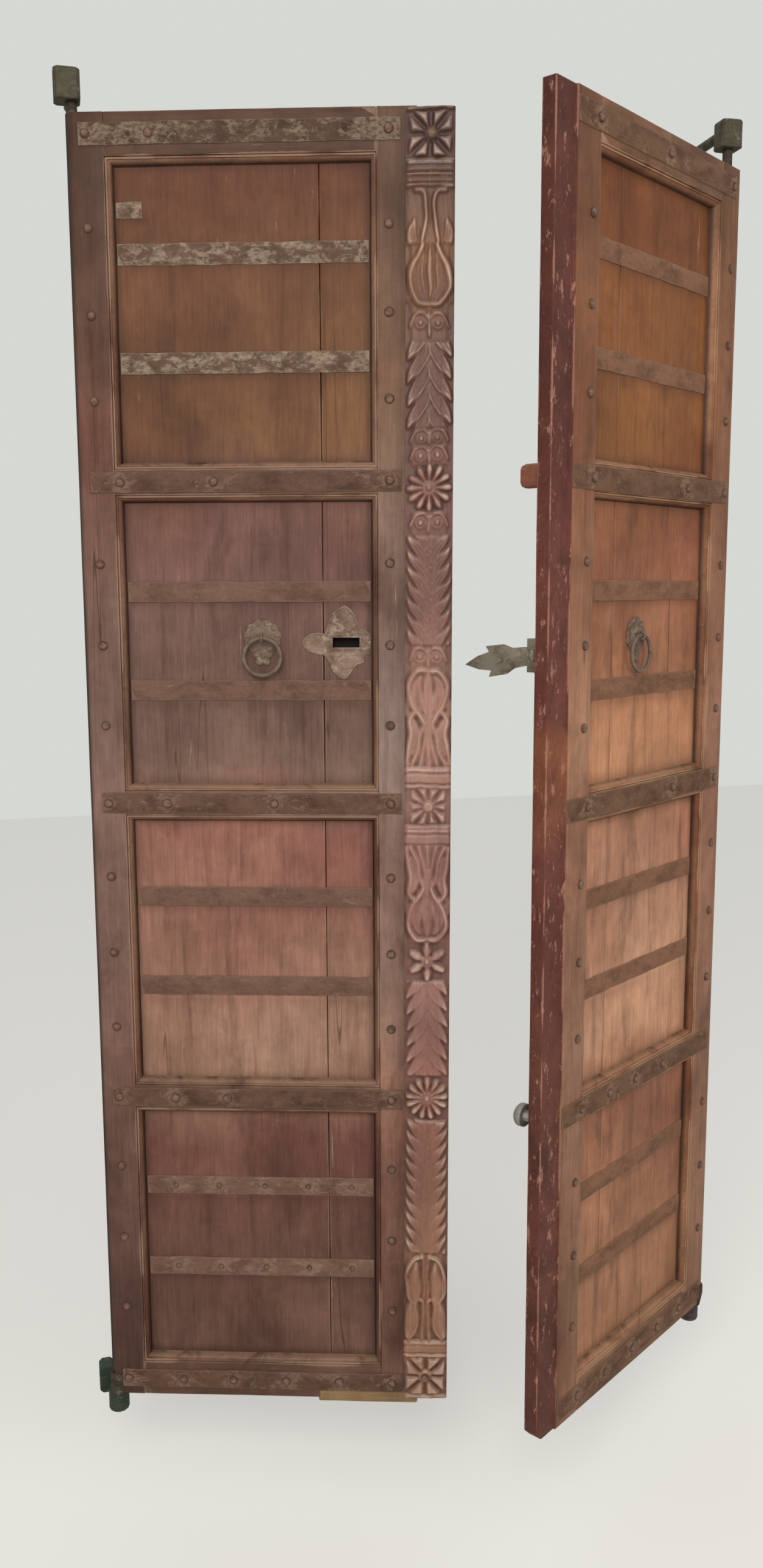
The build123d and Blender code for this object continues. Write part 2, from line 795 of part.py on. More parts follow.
def as_shape(value):
    """Several like pieces in one node stay separate solids."""
    return Compound([piece.solid() for piece in value]) if isinstance(value, list) else value


build_left()
build_right()
for node in list(nodes):
    leaf = left if node.startswith("left") else right
    nodes[node] = leaf.hang(as_shape(nodes[node]))

nodes["left_upper_socket"] = upper_socket(left, left_upper_gap, left_socket_shift)
nodes["right_upper_socket"] = upper_socket(right, right_upper_gap, 0)
nodes["left_lower_socket"] = lower_socket(left)
nodes["right_lower_socket"] = lower_socket(right)

os.makedirs("parts", exist_ok=True)
for node, shape in nodes.items():
    export_step(shape, "parts/" + node + ".step")
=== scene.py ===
# %% [markdown]
# # An old carved door: two leaves on iron pivots
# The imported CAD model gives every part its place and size. This lesson dresses it: the timbers get soft,
# worn edges, the post gets its carving, and every surface gets old paint, dust or rust. All lengths are in
# metres.

# %% Load the frame
import json
import math

import bpy
import numpy as np
from mathutils import Matrix, Vector


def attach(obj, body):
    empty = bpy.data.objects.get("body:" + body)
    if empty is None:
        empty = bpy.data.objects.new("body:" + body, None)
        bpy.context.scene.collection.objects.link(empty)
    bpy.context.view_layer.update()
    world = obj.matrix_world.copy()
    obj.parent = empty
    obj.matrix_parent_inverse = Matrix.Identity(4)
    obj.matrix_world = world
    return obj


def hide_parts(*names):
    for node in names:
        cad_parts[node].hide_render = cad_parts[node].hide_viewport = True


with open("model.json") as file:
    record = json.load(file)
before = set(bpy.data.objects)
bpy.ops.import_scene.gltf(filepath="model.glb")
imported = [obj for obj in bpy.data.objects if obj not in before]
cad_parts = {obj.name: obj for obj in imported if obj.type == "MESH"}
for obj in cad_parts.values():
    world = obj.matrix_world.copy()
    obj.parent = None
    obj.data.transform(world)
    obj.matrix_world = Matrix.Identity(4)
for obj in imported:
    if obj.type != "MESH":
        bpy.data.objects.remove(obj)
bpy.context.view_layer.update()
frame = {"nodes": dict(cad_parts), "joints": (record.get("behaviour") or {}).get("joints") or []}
record_joints = {joint["name"]: joint for joint in frame["joints"]}

# %% [markdown]
# ## Working in the axes of a leaf
# Each leaf stands open at its own angle, so it is easier to work as a joiner does, with the leaf flat on
# the bench: u runs across from the hinge edge, d goes back from the front face and z is up. Pieces are
# modelled there and then hung, which moves their mesh and leaves the object at the origin.

# %% The two leaves
# How far the pivot's axis lies in from the hinge edge and behind the front face.
PIVOT_INSET = 0.005
PIVOT_DEPTH = 0.025


class Leaf:
    """One door leaf: its side (1 for left, -1 for right), how far it stands open, and its place."""

    def __init__(self, name, side, joint=None, angle=0.0):
        self.name = name
        self.side = side
        self.body = name + "_leaf"
        self.angle = math.radians(angle)
        self.place = Matrix.Identity(4)
        if joint:
            pivot = Matrix.Translation(joint["pos_m"]) @ Matrix.Rotation(-side * self.angle, 4, "Z")
            self.place = pivot @ Matrix.Translation((-side * PIVOT_INSET, -PIVOT_DEPTH, 0))
        self.back = self.place.inverted()


left_joint = record_joints["left_leaf_hinge"]
right_joint = record_joints["right_leaf_hinge"]
left = Leaf("left", 1, left_joint, left_joint["range_deg"][1])
right = Leaf("right", -1, right_joint, -right_joint["range_deg"][0])
leaves = (left, right)
print("leaves open by", *(round(math.degrees(leaf.angle), 1) for leaf in leaves), "degrees")

# %% Boxes of the CAD parts in a leaf's axes
def solids_of(node, leaf):
    """The low and high corners (u, d, z) of each separate solid of a CAD node."""
    mesh = frame["nodes"][node].data
    points = [leaf.back @ vertex.co for vertex in mesh.vertices]
    keys = {}
    owner = [keys.setdefault(tuple(round(c, 5) for c in p), len(keys)) for p in points]
    group = list(range(len(keys)))

    def head(item):
        while group[item] != item:
            group[item] = group[group[item]]
            item = group[item]
        return item

    for face in mesh.polygons:
        first = head(owner[face.vertices[0]])
        for corner in face.vertices[1:]:
            group[head(owner[corner])] = first
    found = {}
    for point, key in zip(points, owner):
        found.setdefault(head(key), []).append((point.x * leaf.side, point.y, point.z))
    boxes = [(Vector(map(min, *spots)), Vector(map(max, *spots))) for spots in found.values()]
    return sorted(boxes, key=lambda box: (-box[0].z, box[0].x))


def box_of(node, leaf):
    """The low and high corners (u, d, z) of a whole CAD node."""
    boxes = solids_of(node, leaf)
    return (Vector(min(box[0][axis] for box in boxes) for axis in range(3)),
            Vector(max(box[1][axis] for box in boxes) for axis in range(3)))


for leaf in leaves:
    low, high = box_of(leaf.name + "_hinge_stile", leaf)
    print(leaf.name, "hinge stile", [round(value, 4) for value in (*low, *high)])

# %% Choosing and naming a piece
def deselect():
    """Nothing is selected, so that an operator acts only on the next piece."""
    bpy.ops.object.select_all(action="DESELECT")
    bpy.context.view_layer.objects.active = None


def choose(*pieces):
    """Select these pieces alone. Operators act on the first."""
    deselect()
    for piece in pieces:
        piece.select_set(True)
    bpy.context.view_layer.objects.active = pieces[0]


def named(name):
    """Give the primitive that was just added its name."""
    piece = bpy.context.active_object
    piece.name = piece.data.name = name
    return piece


def placed(name):
    """Name the primitive that was just added, and move its place, turn and size into its mesh."""
    piece = named(name)
    bpy.ops.object.transform_apply(location=True, rotation=True, scale=True)
    return piece


# %% Starting, joining and copying pieces
def box(name, middle, size):
    """A cube primitive stretched to a box."""
    deselect()
    bpy.ops.mesh.primitive_cube_add(size=1, location=middle, scale=size)
    return placed(name)


def join(pieces, name):
    choose(*pieces)
    bpy.ops.object.join()
    return named(name)


def copy_of(mesh, name):
    """A new piece with a copy of a mesh."""
    piece = bpy.data.objects.new(name, mesh.copy())
    piece.data.name = name
    bpy.context.scene.collection.objects.link(piece)
    return piece


# %% Finishing a mesh with modifiers
def apply_modifiers(piece):
    choose(piece)
    for modifier in list(piece.modifiers):
        bpy.ops.object.modifier_apply(modifier=modifier.name)


def modify(piece, kind, **settings):
    """Add a modifier with its settings, and apply it."""
    modifier = piece.modifiers.new(kind.lower(), kind)
    for key, value in settings.items():
        setattr(modifier, key, value)
    apply_modifiers(piece)


def round_arrises(piece, width, angle):
    """Bevel the arrises that turn by more than an angle in degrees."""
    modify(piece, "BEVEL", width=width, segments=2, limit_method="ANGLE", angle_limit=math.radians(angle))


def ripple(piece, size, strength, direction="NORMAL"):
    """Wear the surface unevenly, in swells of the given size and strength."""
    name = "ripple_%g" % size
    texture = bpy.data.textures.get(name) or bpy.data.textures.new(name, "CLOUDS")
    texture.noise_scale = size
    modify(piece, "DISPLACE", texture=texture, texture_coords="LOCAL", direction=direction, strength=strength,
           mid_level=0.5)


def smooth(piece, angle=35):
    choose(piece)
    bpy.ops.object.shade_smooth_by_angle(angle=math.radians(angle))


def store(piece, label, values):
    """Keep a number on each vertex, for a finish to read."""
    piece.data.attributes.new(label, "FLOAT", "POINT").data.foreach_set("value", values)


# %% Small tools for edit mode
def edit(piece, action="SELECT", kind="FACE"):
    """Go into edit mode on one piece, with everything or nothing selected."""
    choose(piece)
    bpy.ops.object.mode_set(mode="EDIT")
    bpy.ops.mesh.select_mode(type=kind)
    bpy.ops.mesh.select_all(action=action)


def leave_edit():
    bpy.ops.object.mode_set(mode="OBJECT")


def edit_edges(piece, test):
    """Go into edit mode with those edges selected whose two ends pass a test."""
    edit(piece, "DESELECT", "EDGE")
    leave_edit()
    points = [vertex.co.copy() for vertex in piece.data.vertices]
    for edge in piece.data.edges:
        edge.select = test(points[edge.vertices[0]], points[edge.vertices[1]])
    bpy.ops.object.mode_set(mode="EDIT")


def bisect(place, normal, **more):
    """In edit mode, cut everything across by a plane."""
    bpy.ops.mesh.select_all(action="SELECT")
    bpy.ops.mesh.bisect(plane_co=place, plane_no=normal, **more)


def extrude_edges(y):
    """In edit mode, draw the selected edges out along y."""
    bpy.ops.mesh.extrude_edges_move(TRANSFORM_OT_translate={"value": (0, y, 0)})


def face_outwards():
    """In edit mode, turn every face of a closed piece to the outside."""
    bpy.ops.mesh.select_all(action="SELECT")
    bpy.ops.mesh.normals_make_consistent(inside=False)


def hang(piece, leaf, material, replaced=(), body=None):
    """Move a finished mesh from the bench to its leaf, and say what it rides on and stands for."""
    piece.data.transform(leaf.place)
    return settle(piece, body or leaf.body, material, replaced)


def settle(piece, body, material, replaced=()):
    piece.data.materials.clear()
    piece.data.materials.append(material)
    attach(piece, body)
    if replaced:
        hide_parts(*replaced)
    return piece


# %% [markdown]
# ## Colours and shared effects
# The real door has several coats of old paint, sunned, chipped and rubbed thin. Colours are noted as a
# painter reads them on a screen and turned to the linear values that the shader needs. Effects that more
# than one finish uses are node groups, so each is tuned once.

# %% Colours
def srgb(red, green, blue):
    """A screen colour of 0 to 255 as linear values."""
    def linear(value):
        value /= 255
        return value / 12.92 if value <= 0.04045 else ((value + 0.055) / 1.055) ** 2.4
    return (linear(red), linear(green), linear(blue), 1.0)


print("a middle grey", [round(value, 3) for value in srgb(128, 128, 128)])

# %% A node builder
class Value:
    """What a socket gives out. Sums and products of such values add math nodes to the tree."""

    def __init__(self, build, socket):
        self.build = build
        self.socket = socket

    def __add__(self, other):
        return self.build.math("ADD", self, other)

    def __radd__(self, other):
        return self.build.math("ADD", other, self)

    def __sub__(self, other):
        return self.build.math("SUBTRACT", self, other)

    def __mul__(self, other):
        return self.build.math("MULTIPLY", self, other)

    def __truediv__(self, other):
        return self.build.math("DIVIDE", self, other)


class Nodes:
    """A short way to add nodes and links to a tree."""

    def __init__(self, tree):
        self.tree = tree

    def feed(self, socket, value):
        """Link a value to a socket, or set a constant on it."""
        source = value.socket if isinstance(value, Value) else value
        if isinstance(source, bpy.types.NodeSocket):
            self.tree.links.new(source, socket)
        else:
            socket.default_value = source

    def add(self, kind, inputs=None, **settings):
        node = self.tree.nodes.new("ShaderNode" + kind)
        for key, value in settings.items():
            setattr(node, key, value)
        for key, value in (inputs or {}).items():
            self.feed(node.inputs[key], value)
        return node

    def out(self, kind, output, inputs=None, **settings):
        """Add a node, and give what comes out of it."""
        return Value(self, self.add(kind, inputs, **settings).outputs[output])

    def math(self, operation, *values, clamp=False):
        return self.out("Math", 0, dict(enumerate(values)), operation=operation, use_clamp=clamp)

    def vector(self, operation, *values):
        return self.out("VectorMath", 0, dict(enumerate(values)), operation=operation)

    def noise(self, place, scale, detail=3.0, roughness=0.5, distortion=0.0):
        return self.out("TexNoise", "Fac", {"Vector": place, "Scale": scale, "Detail": detail,
                                            "Roughness": roughness, "Distortion": distortion})

    def stretch(self, value, low, high, to_low, to_high, kind="LINEAR"):
        """One range of numbers spread over another."""
        return self.out("MapRange", "Result", {"Value": value, "From Min": low, "From Max": high,
                                               "To Min": to_low, "To Max": to_high}, interpolation_type=kind)

    def ramp(self, value, low, high):
        """0 at low or below, 1 at high or above, and smooth between them."""
        return self.stretch(value, low, high, 0.0, 1.0, "SMOOTHSTEP")

    def mix(self, share, first, second, blend="MIX"):
        return self.out("Mix", 2, {0: share, 6: first, 7: second}, data_type="RGBA", blend_type=blend)

    def shaded(self, color, shade):
        """A colour made lighter or darker by a number."""
        return self.mix(1.0, color, self.out("CombineColor", 0, {0: shade, 1: shade, 2: shade}), "MULTIPLY")

    def read(self, attribute):
        """The number that was stored on the vertices."""
        return self.out("Attribute", "Fac", attribute_name=attribute)


# %% An empty node group
def group(name, inputs):
    """A node group that puts out a colour, a roughness and a height: its builder, inputs and outputs."""
    tree = bpy.data.node_groups.new(name, "ShaderNodeTree")
    kinds = {1: "NodeSocketFloat", 3: "NodeSocketVector", 4: "NodeSocketColor"}
    for label, default in inputs.items():
        size = len(default) if isinstance(default, tuple) else 1
        tree.interface.new_socket(label, in_out="INPUT", socket_type=kinds[size]).default_value = default
    for label, size in (("Color", 4), ("Roughness", 1), ("Height", 1)):
        tree.interface.new_socket(label, in_out="OUTPUT", socket_type=kinds[size])
    build = Nodes(tree)
    sockets = tree.nodes.new("NodeGroupInput").outputs
    take = {label: Value(build, sockets[label]) for label in inputs}
    return build, take, tree.nodes.new("NodeGroupOutput").inputs


# %% [markdown]
# ### Old painted wood
# The finish is built up as on the door. Broad patches of a redder and a sunned tone come first, then
# streaks along the grain, cloudy shade, chips down to bare wood, rubbed edges, dark splits, dirt with painted
# shade, and dust with a painted light on faces turned up. The edge attribute of each timber is the distance
# from its nearest arris, so that wear keeps to the arrises.

# %% The painted wood group
WHITE = (1.0, 1.0, 1.0, 1.0)
PAINTED_SHADOW_BLACK = (0.003, 0.002, 0.002, 1)
build, take, give = group("painted_wood", {
    "Place": (0, 0, 0), "Grain": (1, 1, 1), "Paint": WHITE, "Sunned": WHITE, "Deep": WHITE, "Bare": WHITE,
    "Patches": 0.5, "Streaks": 0.5, "Chips": 0.3, "Rubbed": 0.5, "Edge": 1.0, "Grime": 0.0, "Up": 0.0})
place, grain, sunned, deep, bare = (take[label] for label in ("Place", "Grain", "Sunned", "Deep", "Bare"))
along = build.vector("MULTIPLY", place, grain)
broad = build.noise(place, 3.2, 3.0, 0.55, 0.4)
color = build.mix(build.ramp(broad, 0.38, 0.64) * take["Patches"], take["Paint"], sunned)
blotch = build.noise(build.vector("MULTIPLY", place, (1.0, 1.0, 0.45)), 11.0, 5.0, 0.62, 0.5)
color = build.mix(build.ramp(blotch, 0.54, 0.7) * 0.5, color, sunned)
color = build.mix(build.ramp(blotch, 0.46, 0.3) * 0.38, color, deep)
streak = build.noise(along, 42.0, 4.0, 0.6, 0.3)
color = build.mix(build.ramp(streak, 0.5, 0.78) * take["Streaks"], color, deep)
color = build.mix(build.ramp(streak, 0.46, 0.26) * (take["Streaks"] * 0.5), color, sunned)
# Fine fibres, mottling and wide clouds make the paint lighter and darker.
fibre = build.noise(along, 260.0, 4.0, 0.75)
mottle = build.noise(place, 22.0, 6.0, 0.7, 0.8)
cloud = build.noise(build.vector("MULTIPLY", place, (0.8, 1.0, 0.6)), 6.5, 3.0, 0.55, 0.7)
shade = build.stretch(fibre, 0.25, 0.75, 0.78, 1.2) * build.stretch(mottle, 0.3, 0.7, 0.84, 1.13)
color = build.shaded(color, shade * build.stretch(cloud, 0.32, 0.68, 0.76, 1.2))
# Chips follow the grain, and the rubbed band along an arris is uneven in width.
speck = build.noise(along, 95.0, 6.0, 0.75)
chip = build.ramp(speck + take["Chips"] * 0.12, 0.66, 0.72)
color = build.mix(chip * 0.75, color, bare)
long_rub = build.ramp(build.noise(place, 9.0, 2.0, 0.5), 0.42, 0.62)
reach = build.noise(place, 130.0, 4.0, 0.7) * long_rub * 0.005
near_arris = build.math("SUBTRACT", 1.0, take["Edge"] / (reach + 0.0006), clamp=True)
rub = build.ramp(near_arris, 0.05, 0.6) * take["Rubbed"]
color = build.mix(rub, color, bare)
# A split is where a noise that is drawn out along the grain crosses its middle value.
thin = build.vector("MULTIPLY", along, build.vector("ADD", grain, (0.3, 0.3, 0.3)))
crossing = build.math("ABSOLUTE", build.noise(thin, 24.0, 1.0, 0.4) - 0.5)
split = build.ramp(crossing, 0.004, 0.0005) * build.ramp(build.noise(along, 19.0, 2.0), 0.52, 0.64)
dark = build.mix(1.0, deep, (0.3, 0.26, 0.24, 1), "MULTIPLY")
color = build.mix(split * 0.6, color, dark)
# Where the grime and shade number is up to 1, dirt and painted shade darken the paint; above that it turns
# to a nearly black painted shadow, as in the slot of the lock.
dirt_and_shade = take["Grime"] * (0.4 + mottle)
color = build.mix(build.ramp(dirt_and_shade, 0.08, 0.85) * 0.8, color, dark)
color = build.mix(build.ramp(take["Grime"], 1.2, 1.8), color, PAINTED_SHADOW_BLACK)
# Faces turned up get dust, and a painted light from above, in the bare colour.
dust_and_top_light = build.ramp(take["Up"], 0.25, 0.75) * build.ramp(mottle, 0.3, 0.55)
build.feed(give["Color"], build.mix(dust_and_top_light * 0.5, color, bare))
build.feed(give["Roughness"], 0.42 + streak * 0.18 + build.math("MAXIMUM", chip, rub) * 0.22)
build.feed(give["Height"], streak * 0.7 + fibre * 0.35 - chip * 0.35 - split * 1.2)
print("nodes in the paint:", len(build.tree.nodes))

# %% [markdown]
# ### Old iron
# Straps, nails and pivots are wrought iron under coats of the same paint. Paint flakes off iron in patches
# with a crisp border, pale where a chalky undercoat is left and brown where it has rusted. The worn and sheen
# attribute makes it flake more round the nails, and on the crown of a nail head, where the pale is also a
# painted highlight. The rim attribute rubs the long edges of a strap pale, and the grime and shade attribute
# darkens the foot of a nail head with dirt and painted shade.

# %% The old iron group
build, take, give = group("old_iron", {
    "Place": (0, 0, 0), "Iron": WHITE, "Rust": WHITE, "Flake": WHITE, "Rusting": 0.5, "Flaking": 0.3,
    "Scale": 1.0, "Worn": 0.0, "Rim": 0.0, "Grime": 0.0})
rust, pale = take["Rust"], take["Flake"]
place = build.out("VectorMath", 0, {0: take["Place"], "Scale": take["Scale"]}, operation="SCALE")
place = build.vector("MULTIPLY", place, (0.62, 1.0, 1.0))
patch = build.noise(place, 30.0, 8.0, 0.72, 0.3)
color = build.mix(build.ramp(patch + take["Rusting"] * 0.2, 0.42, 0.76), take["Iron"], rust)
grit = build.noise(place, 230.0, 4.0, 0.75)
color = build.shaded(color, build.stretch(grit, 0.0, 1.0, 0.62, 1.36))
flake_noise = build.noise(build.vector("ADD", place, (3.1, 1.7, 0.4)), 60.0, 10.0, 0.74, 0.5)
shed = take["Flaking"] + take["Worn"] * 0.75
torn = build.ramp(build.noise(place, 210.0, 4.0, 0.7), 0.3, 0.62)
flake = build.ramp(flake_noise + shed * 0.25, 0.57, 0.68) * torn
color = build.mix(flake * 0.7, color, pale)
rim = take["Rim"] + (patch - 0.5) * 0.5
color = build.mix(build.ramp(rim, 0.8, 1.05) * 0.42, color, pale)
dark = build.mix(1.0, rust, (0.4, 0.36, 0.34, 1), "MULTIPLY")
# Dirt and painted shade darken the foot of a nail head.
build.feed(give["Color"], build.mix(build.ramp(take["Grime"], 0.1, 0.9) * 0.75, color, dark))
build.feed(give["Roughness"], 0.5 + build.math("MAXIMUM", patch, flake) * 0.3)
build.feed(give["Height"], flake * 0.8 + grit * 0.6)
print("nodes in the iron:", len(build.tree.nodes))

# %% [markdown]
# ### From a group to a material
# Grain has to run along each timber, and the leaves stand at an angle. So each material turns the object
# coordinates back by its leaf's angle before the group stretches them along the grain. Where the paint
# changes with height, a colour ramp on the height goes in front of the group. Its tones also hold painted
# shade and painted sheen: darker towards the head of a leaf and paler at mid-height.

# %% Turning a group into a material
SHEEN = 0.16
BUMP_DISTANCE = 0.001


def dressed(name, leaf, kind, colors, numbers, attributes, depth):
    """A material that a group dresses. Gives the material, its builder, shader, group node and place."""
    material = bpy.data.materials.new(name)
    material.use_nodes = True
    build = Nodes(material.node_tree)
    shader = material.node_tree.nodes["Principled BSDF"]
    place = build.out("VectorRotate", "Vector", {"Vector": build.out("TexCoord", "Object"),
                                                 "Angle": leaf.side * leaf.angle}, rotation_type="Z_AXIS")
    effect = build.add("Group", node_tree=bpy.data.node_groups[kind])
    build.feed(effect.inputs["Place"], place)
    for label, value in colors.items():
        build.feed(effect.inputs[label], srgb(*value))
    for label, value in numbers.items():
        build.feed(effect.inputs[label], value)
    for label in attributes:
        build.feed(effect.inputs[label], build.read(label.lower()))
    shader.inputs["Specular IOR Level"].default_value = SHEEN
    bump = build.out("Bump", "Normal", {"Height": effect.outputs["Height"], "Strength": depth,
                                        "Distance": BUMP_DISTANCE})
    for label, value in (("Base Color", effect.outputs["Color"]), ("Roughness", effect.outputs["Roughness"]),
                         ("Normal", bump)):
        build.feed(shader.inputs[label], value)
    return material, build, shader, effect, place


# %% Paint on wood, and old iron
# How far the noises are drawn out along each axis of the leaf: boards that stand, and boards that lie.
UPRIGHT = (1.0, 1.0, 0.07)
LEVEL = (0.07, 1.0, 1.0)
# The height of a leaf, over which the tones are spread.
TONE_REACH = 2.0


def tones_and_light_by_height(build, effect, place, tones):
    """Let the paint and its sunned tone follow the height, with a border that drifts; they hold painted shade
    and sheen.
    """
    z = build.out("SeparateXYZ", "Z", {"Vector": place})
    drift = (build.noise(place, 5.0, 3.0) - 0.5) * 0.3
    share = (z + drift) / TONE_REACH
    for index, label in ((1, "Paint"), (2, "Sunned")):
        ramp = build.add("ValToRGB", {"Fac": share})
        elements = ramp.color_ramp.elements
        elements[0].position, elements[0].color = 0.0, srgb(*tones[0][index])
        elements[1].position, elements[1].color = 1.0, srgb(*tones[-1][index])
        for tone in tones:
            elements.new(min(0.999, max(0.001, tone[0] / TONE_REACH))).color = srgb(*tone[index])
        build.feed(effect.inputs[label], ramp.outputs["Color"])


def painted(name, leaf, grain, deep, bare, *tones, patches=0.8, streaks=0.5, chips=0.2, rubbed=0.5,
            depth=0.35):
    """Old paint on wood. Each tone is a height, a paint and a sunned colour. One alone covers it all."""
    work = dressed(name, leaf, "painted_wood",
                   {"Paint": tones[0][1], "Sunned": tones[0][2], "Deep": deep, "Bare": bare},
                   {"Grain": grain, "Patches": patches, "Streaks": streaks, "Chips": chips, "Rubbed": rubbed},
                   ("Edge", "Grime"), depth)
    material, build, shader, effect, place = work
    up = build.out("SeparateXYZ", "Z", {"Vector": build.out("NewGeometry", "Normal")})
    build.feed(effect.inputs["Up"], up)
    if len(tones) > 1:
        tones_and_light_by_height(build, effect, place, tones)
    return work


def wood(*colors, **shares):
    """The painted finish alone, for timbers that need nothing more."""
    return painted(*colors, **shares)[0]


def iron(name, leaf, metal, rust, flake, rusting=0.3, flaking=0.1, scale=1.0, metallic=0.0, depth=0.5):
    """Old iron: the colours of its paint, its rust and its flaked patches."""
    material, build, shader, effect, place = dressed(
        name, leaf, "old_iron", {"Iron": metal, "Rust": rust, "Flake": flake},
        {"Rusting": rusting, "Flaking": flaking, "Scale": scale}, ("Worn", "Rim", "Grime"), depth)
    shader.inputs["Metallic"].default_value = metallic
    return material


# %% [markdown]
# ## Timbers
# Stiles, rails, planks and ledgers are sawn boards whose arrises were softened by hand and by a century of
# use. A plain box has knife edges and dead flat faces, so each board starts as a cube, is divided along its
# length, rounded at its arrises and rippled very slightly.

# %% Making a timber
TOUCHING = 0.00001


def divided_box(name, leaf, low, high, cell):
    """A box divided into cells of about the given size along each axis."""
    size = high - low
    middle = (low + high) / 2
    piece = box(name, (leaf.side * middle.x, middle.y, middle.z), size)
    for axis in range(3):
        cuts = int(size[axis] / cell[axis]) - 1
        if cuts > 0:
            edit_edges(piece, lambda a, b: abs(a[axis] - b[axis]) > size[axis] * 0.9)
            bpy.ops.mesh.subdivide(number_cuts=cuts)
            leave_edit()
    return piece


def timber(name, leaf, low, high, cell=(0.02, 0.02, 0.02), round_off=0.0016, wave=0.0007):
    """A board with soft arrises. Its edge attribute says how far each point lies from the nearest arris."""
    piece = divided_box(name, leaf, low, high, cell)
    corner_low = Vector((min(leaf.side * low.x, leaf.side * high.x), low.y, low.z))
    corner_high = Vector((max(leaf.side * low.x, leaf.side * high.x), high.y, high.z))

    def is_arris(a, b):
        outer = [axis for axis in range(3)
                 if any(abs(a[axis] - end) < TOUCHING and abs(b[axis] - end) < TOUCHING
                        for end in (corner_low[axis], corner_high[axis]))]
        return len(outer) >= 2

    def from_arris(point):
        gaps = [min(point[axis] - corner_low[axis], corner_high[axis] - point[axis]) for axis in range(3)]
        return max(0.0, sorted(gaps)[1])

    edit_edges(piece, is_arris)
    bpy.ops.mesh.bevel(offset=round_off, segments=2, affect="EDGES")
    leave_edit()
    store(piece, "edge", [from_arris(vertex.co) for vertex in piece.data.vertices])
    ripple(piece, 0.12, wave)
    smooth(piece)
    return piece


# %% Finishes for the timbers
# The tones darken towards the head of a leaf and lighten at mid-height: painted shade and painted sheen mixed
# into the paint's own colours.
frame_wood = {
    left: wood("left_frame_paint", left, UPRIGHT, (58, 36, 30), (160, 134, 118),
               (0.1, (88, 62, 54), (108, 80, 70)), (0.6, (104, 72, 64), (128, 98, 88)),
               (1.15, (118, 84, 76), (140, 110, 100)), (1.55, (104, 68, 56), (122, 88, 74)),
               (1.95, (62, 40, 31), (82, 57, 45)), patches=0.9, chips=0.1),
    right: wood("right_frame_paint", right, UPRIGHT, (78, 48, 34), (176, 144, 118),
                (0.1, (122, 84, 66), (146, 108, 86)), (0.6, (146, 106, 86), (172, 132, 108)),
                (1.15, (146, 102, 80), (170, 128, 102)), (1.6, (130, 84, 58), (152, 104, 74)),
                (1.95, (100, 66, 48), (124, 86, 62)), patches=0.9, chips=0.1),
}
rail_wood = {
    left: wood("left_rail_paint", left, LEVEL, (52, 36, 30), (160, 136, 118),
               (0.1, (94, 68, 56), (122, 94, 78)), (1.7, (96, 70, 58), (122, 94, 78)),
               (1.96, (72, 48, 38), (94, 68, 54)), streaks=0.6, chips=0.25, rubbed=0.6),
    right: wood("right_rail_paint", right, LEVEL, (70, 46, 36), (176, 144, 118),
                (0, (118, 82, 62), (144, 108, 84)), streaks=0.6, rubbed=0.6),
}
meeting_wood = wood("left_meeting_paint", left, UPRIGHT, (68, 44, 36), (178, 154, 138),
                    (0.1, (112, 78, 66), (136, 102, 88)), (0.5, (134, 94, 80), (160, 122, 104)),
                    (1.1, (138, 112, 104), (158, 136, 128)), (1.6, (104, 72, 56), (126, 94, 74)),
                    (1.95, (84, 58, 46), (106, 80, 64)), patches=0.9, streaks=0.4, chips=0.15)
edge_wood = wood("right_edge_paint", right, (1.0, 1.0, 0.4), (54, 28, 26), (176, 128, 110),
                 (0.1, (104, 62, 54), (124, 80, 68)), (0.9, (100, 56, 50), (118, 70, 60)),
                 (1.08, (128, 76, 54), (150, 96, 68)), (1.18, (100, 56, 50), (118, 70, 60)),
                 (1.9, (88, 48, 42), (106, 62, 52)), streaks=0.4, chips=0.75, rubbed=0.6)
ledger_wood = {leaf: wood(leaf.name + "_ledger_paint", leaf, LEVEL, (52, 34, 28), (150, 120, 96),
                          (0, (92, 62, 48), (120, 88, 66)), chips=0.1) for leaf in leaves}
print("timber finishes:", len(bpy.data.materials))

# %% [markdown]
# ### Panels
# Each leaf has four panels, cut from the same planks. The paint of each is darker and redder at its head
# and paler, towards tan, at its foot. A ramp on the height, repeated at each panel, mixes the two.

# %% Panel finishes
# Where the two tones of a panel lie, as shares of its height.
PANEL_FOOT, PANEL_HEAD = 0.12, 0.88


def panel_wood(name, leaf, *spans):
    """Each span is a panel's foot and head, then the paint and sunned tone at its foot and at its head."""
    tones = []
    for foot, head, *colors in spans:
        tones.append((foot + PANEL_FOOT * (head - foot), *colors[:2]))
        tones.append((foot + PANEL_HEAD * (head - foot), *colors[2:]))
    return wood(name, leaf, UPRIGHT, (78, 50, 40), (170, 140, 118), *tones,
                patches=0.85, chips=0.1, rubbed=0.3)


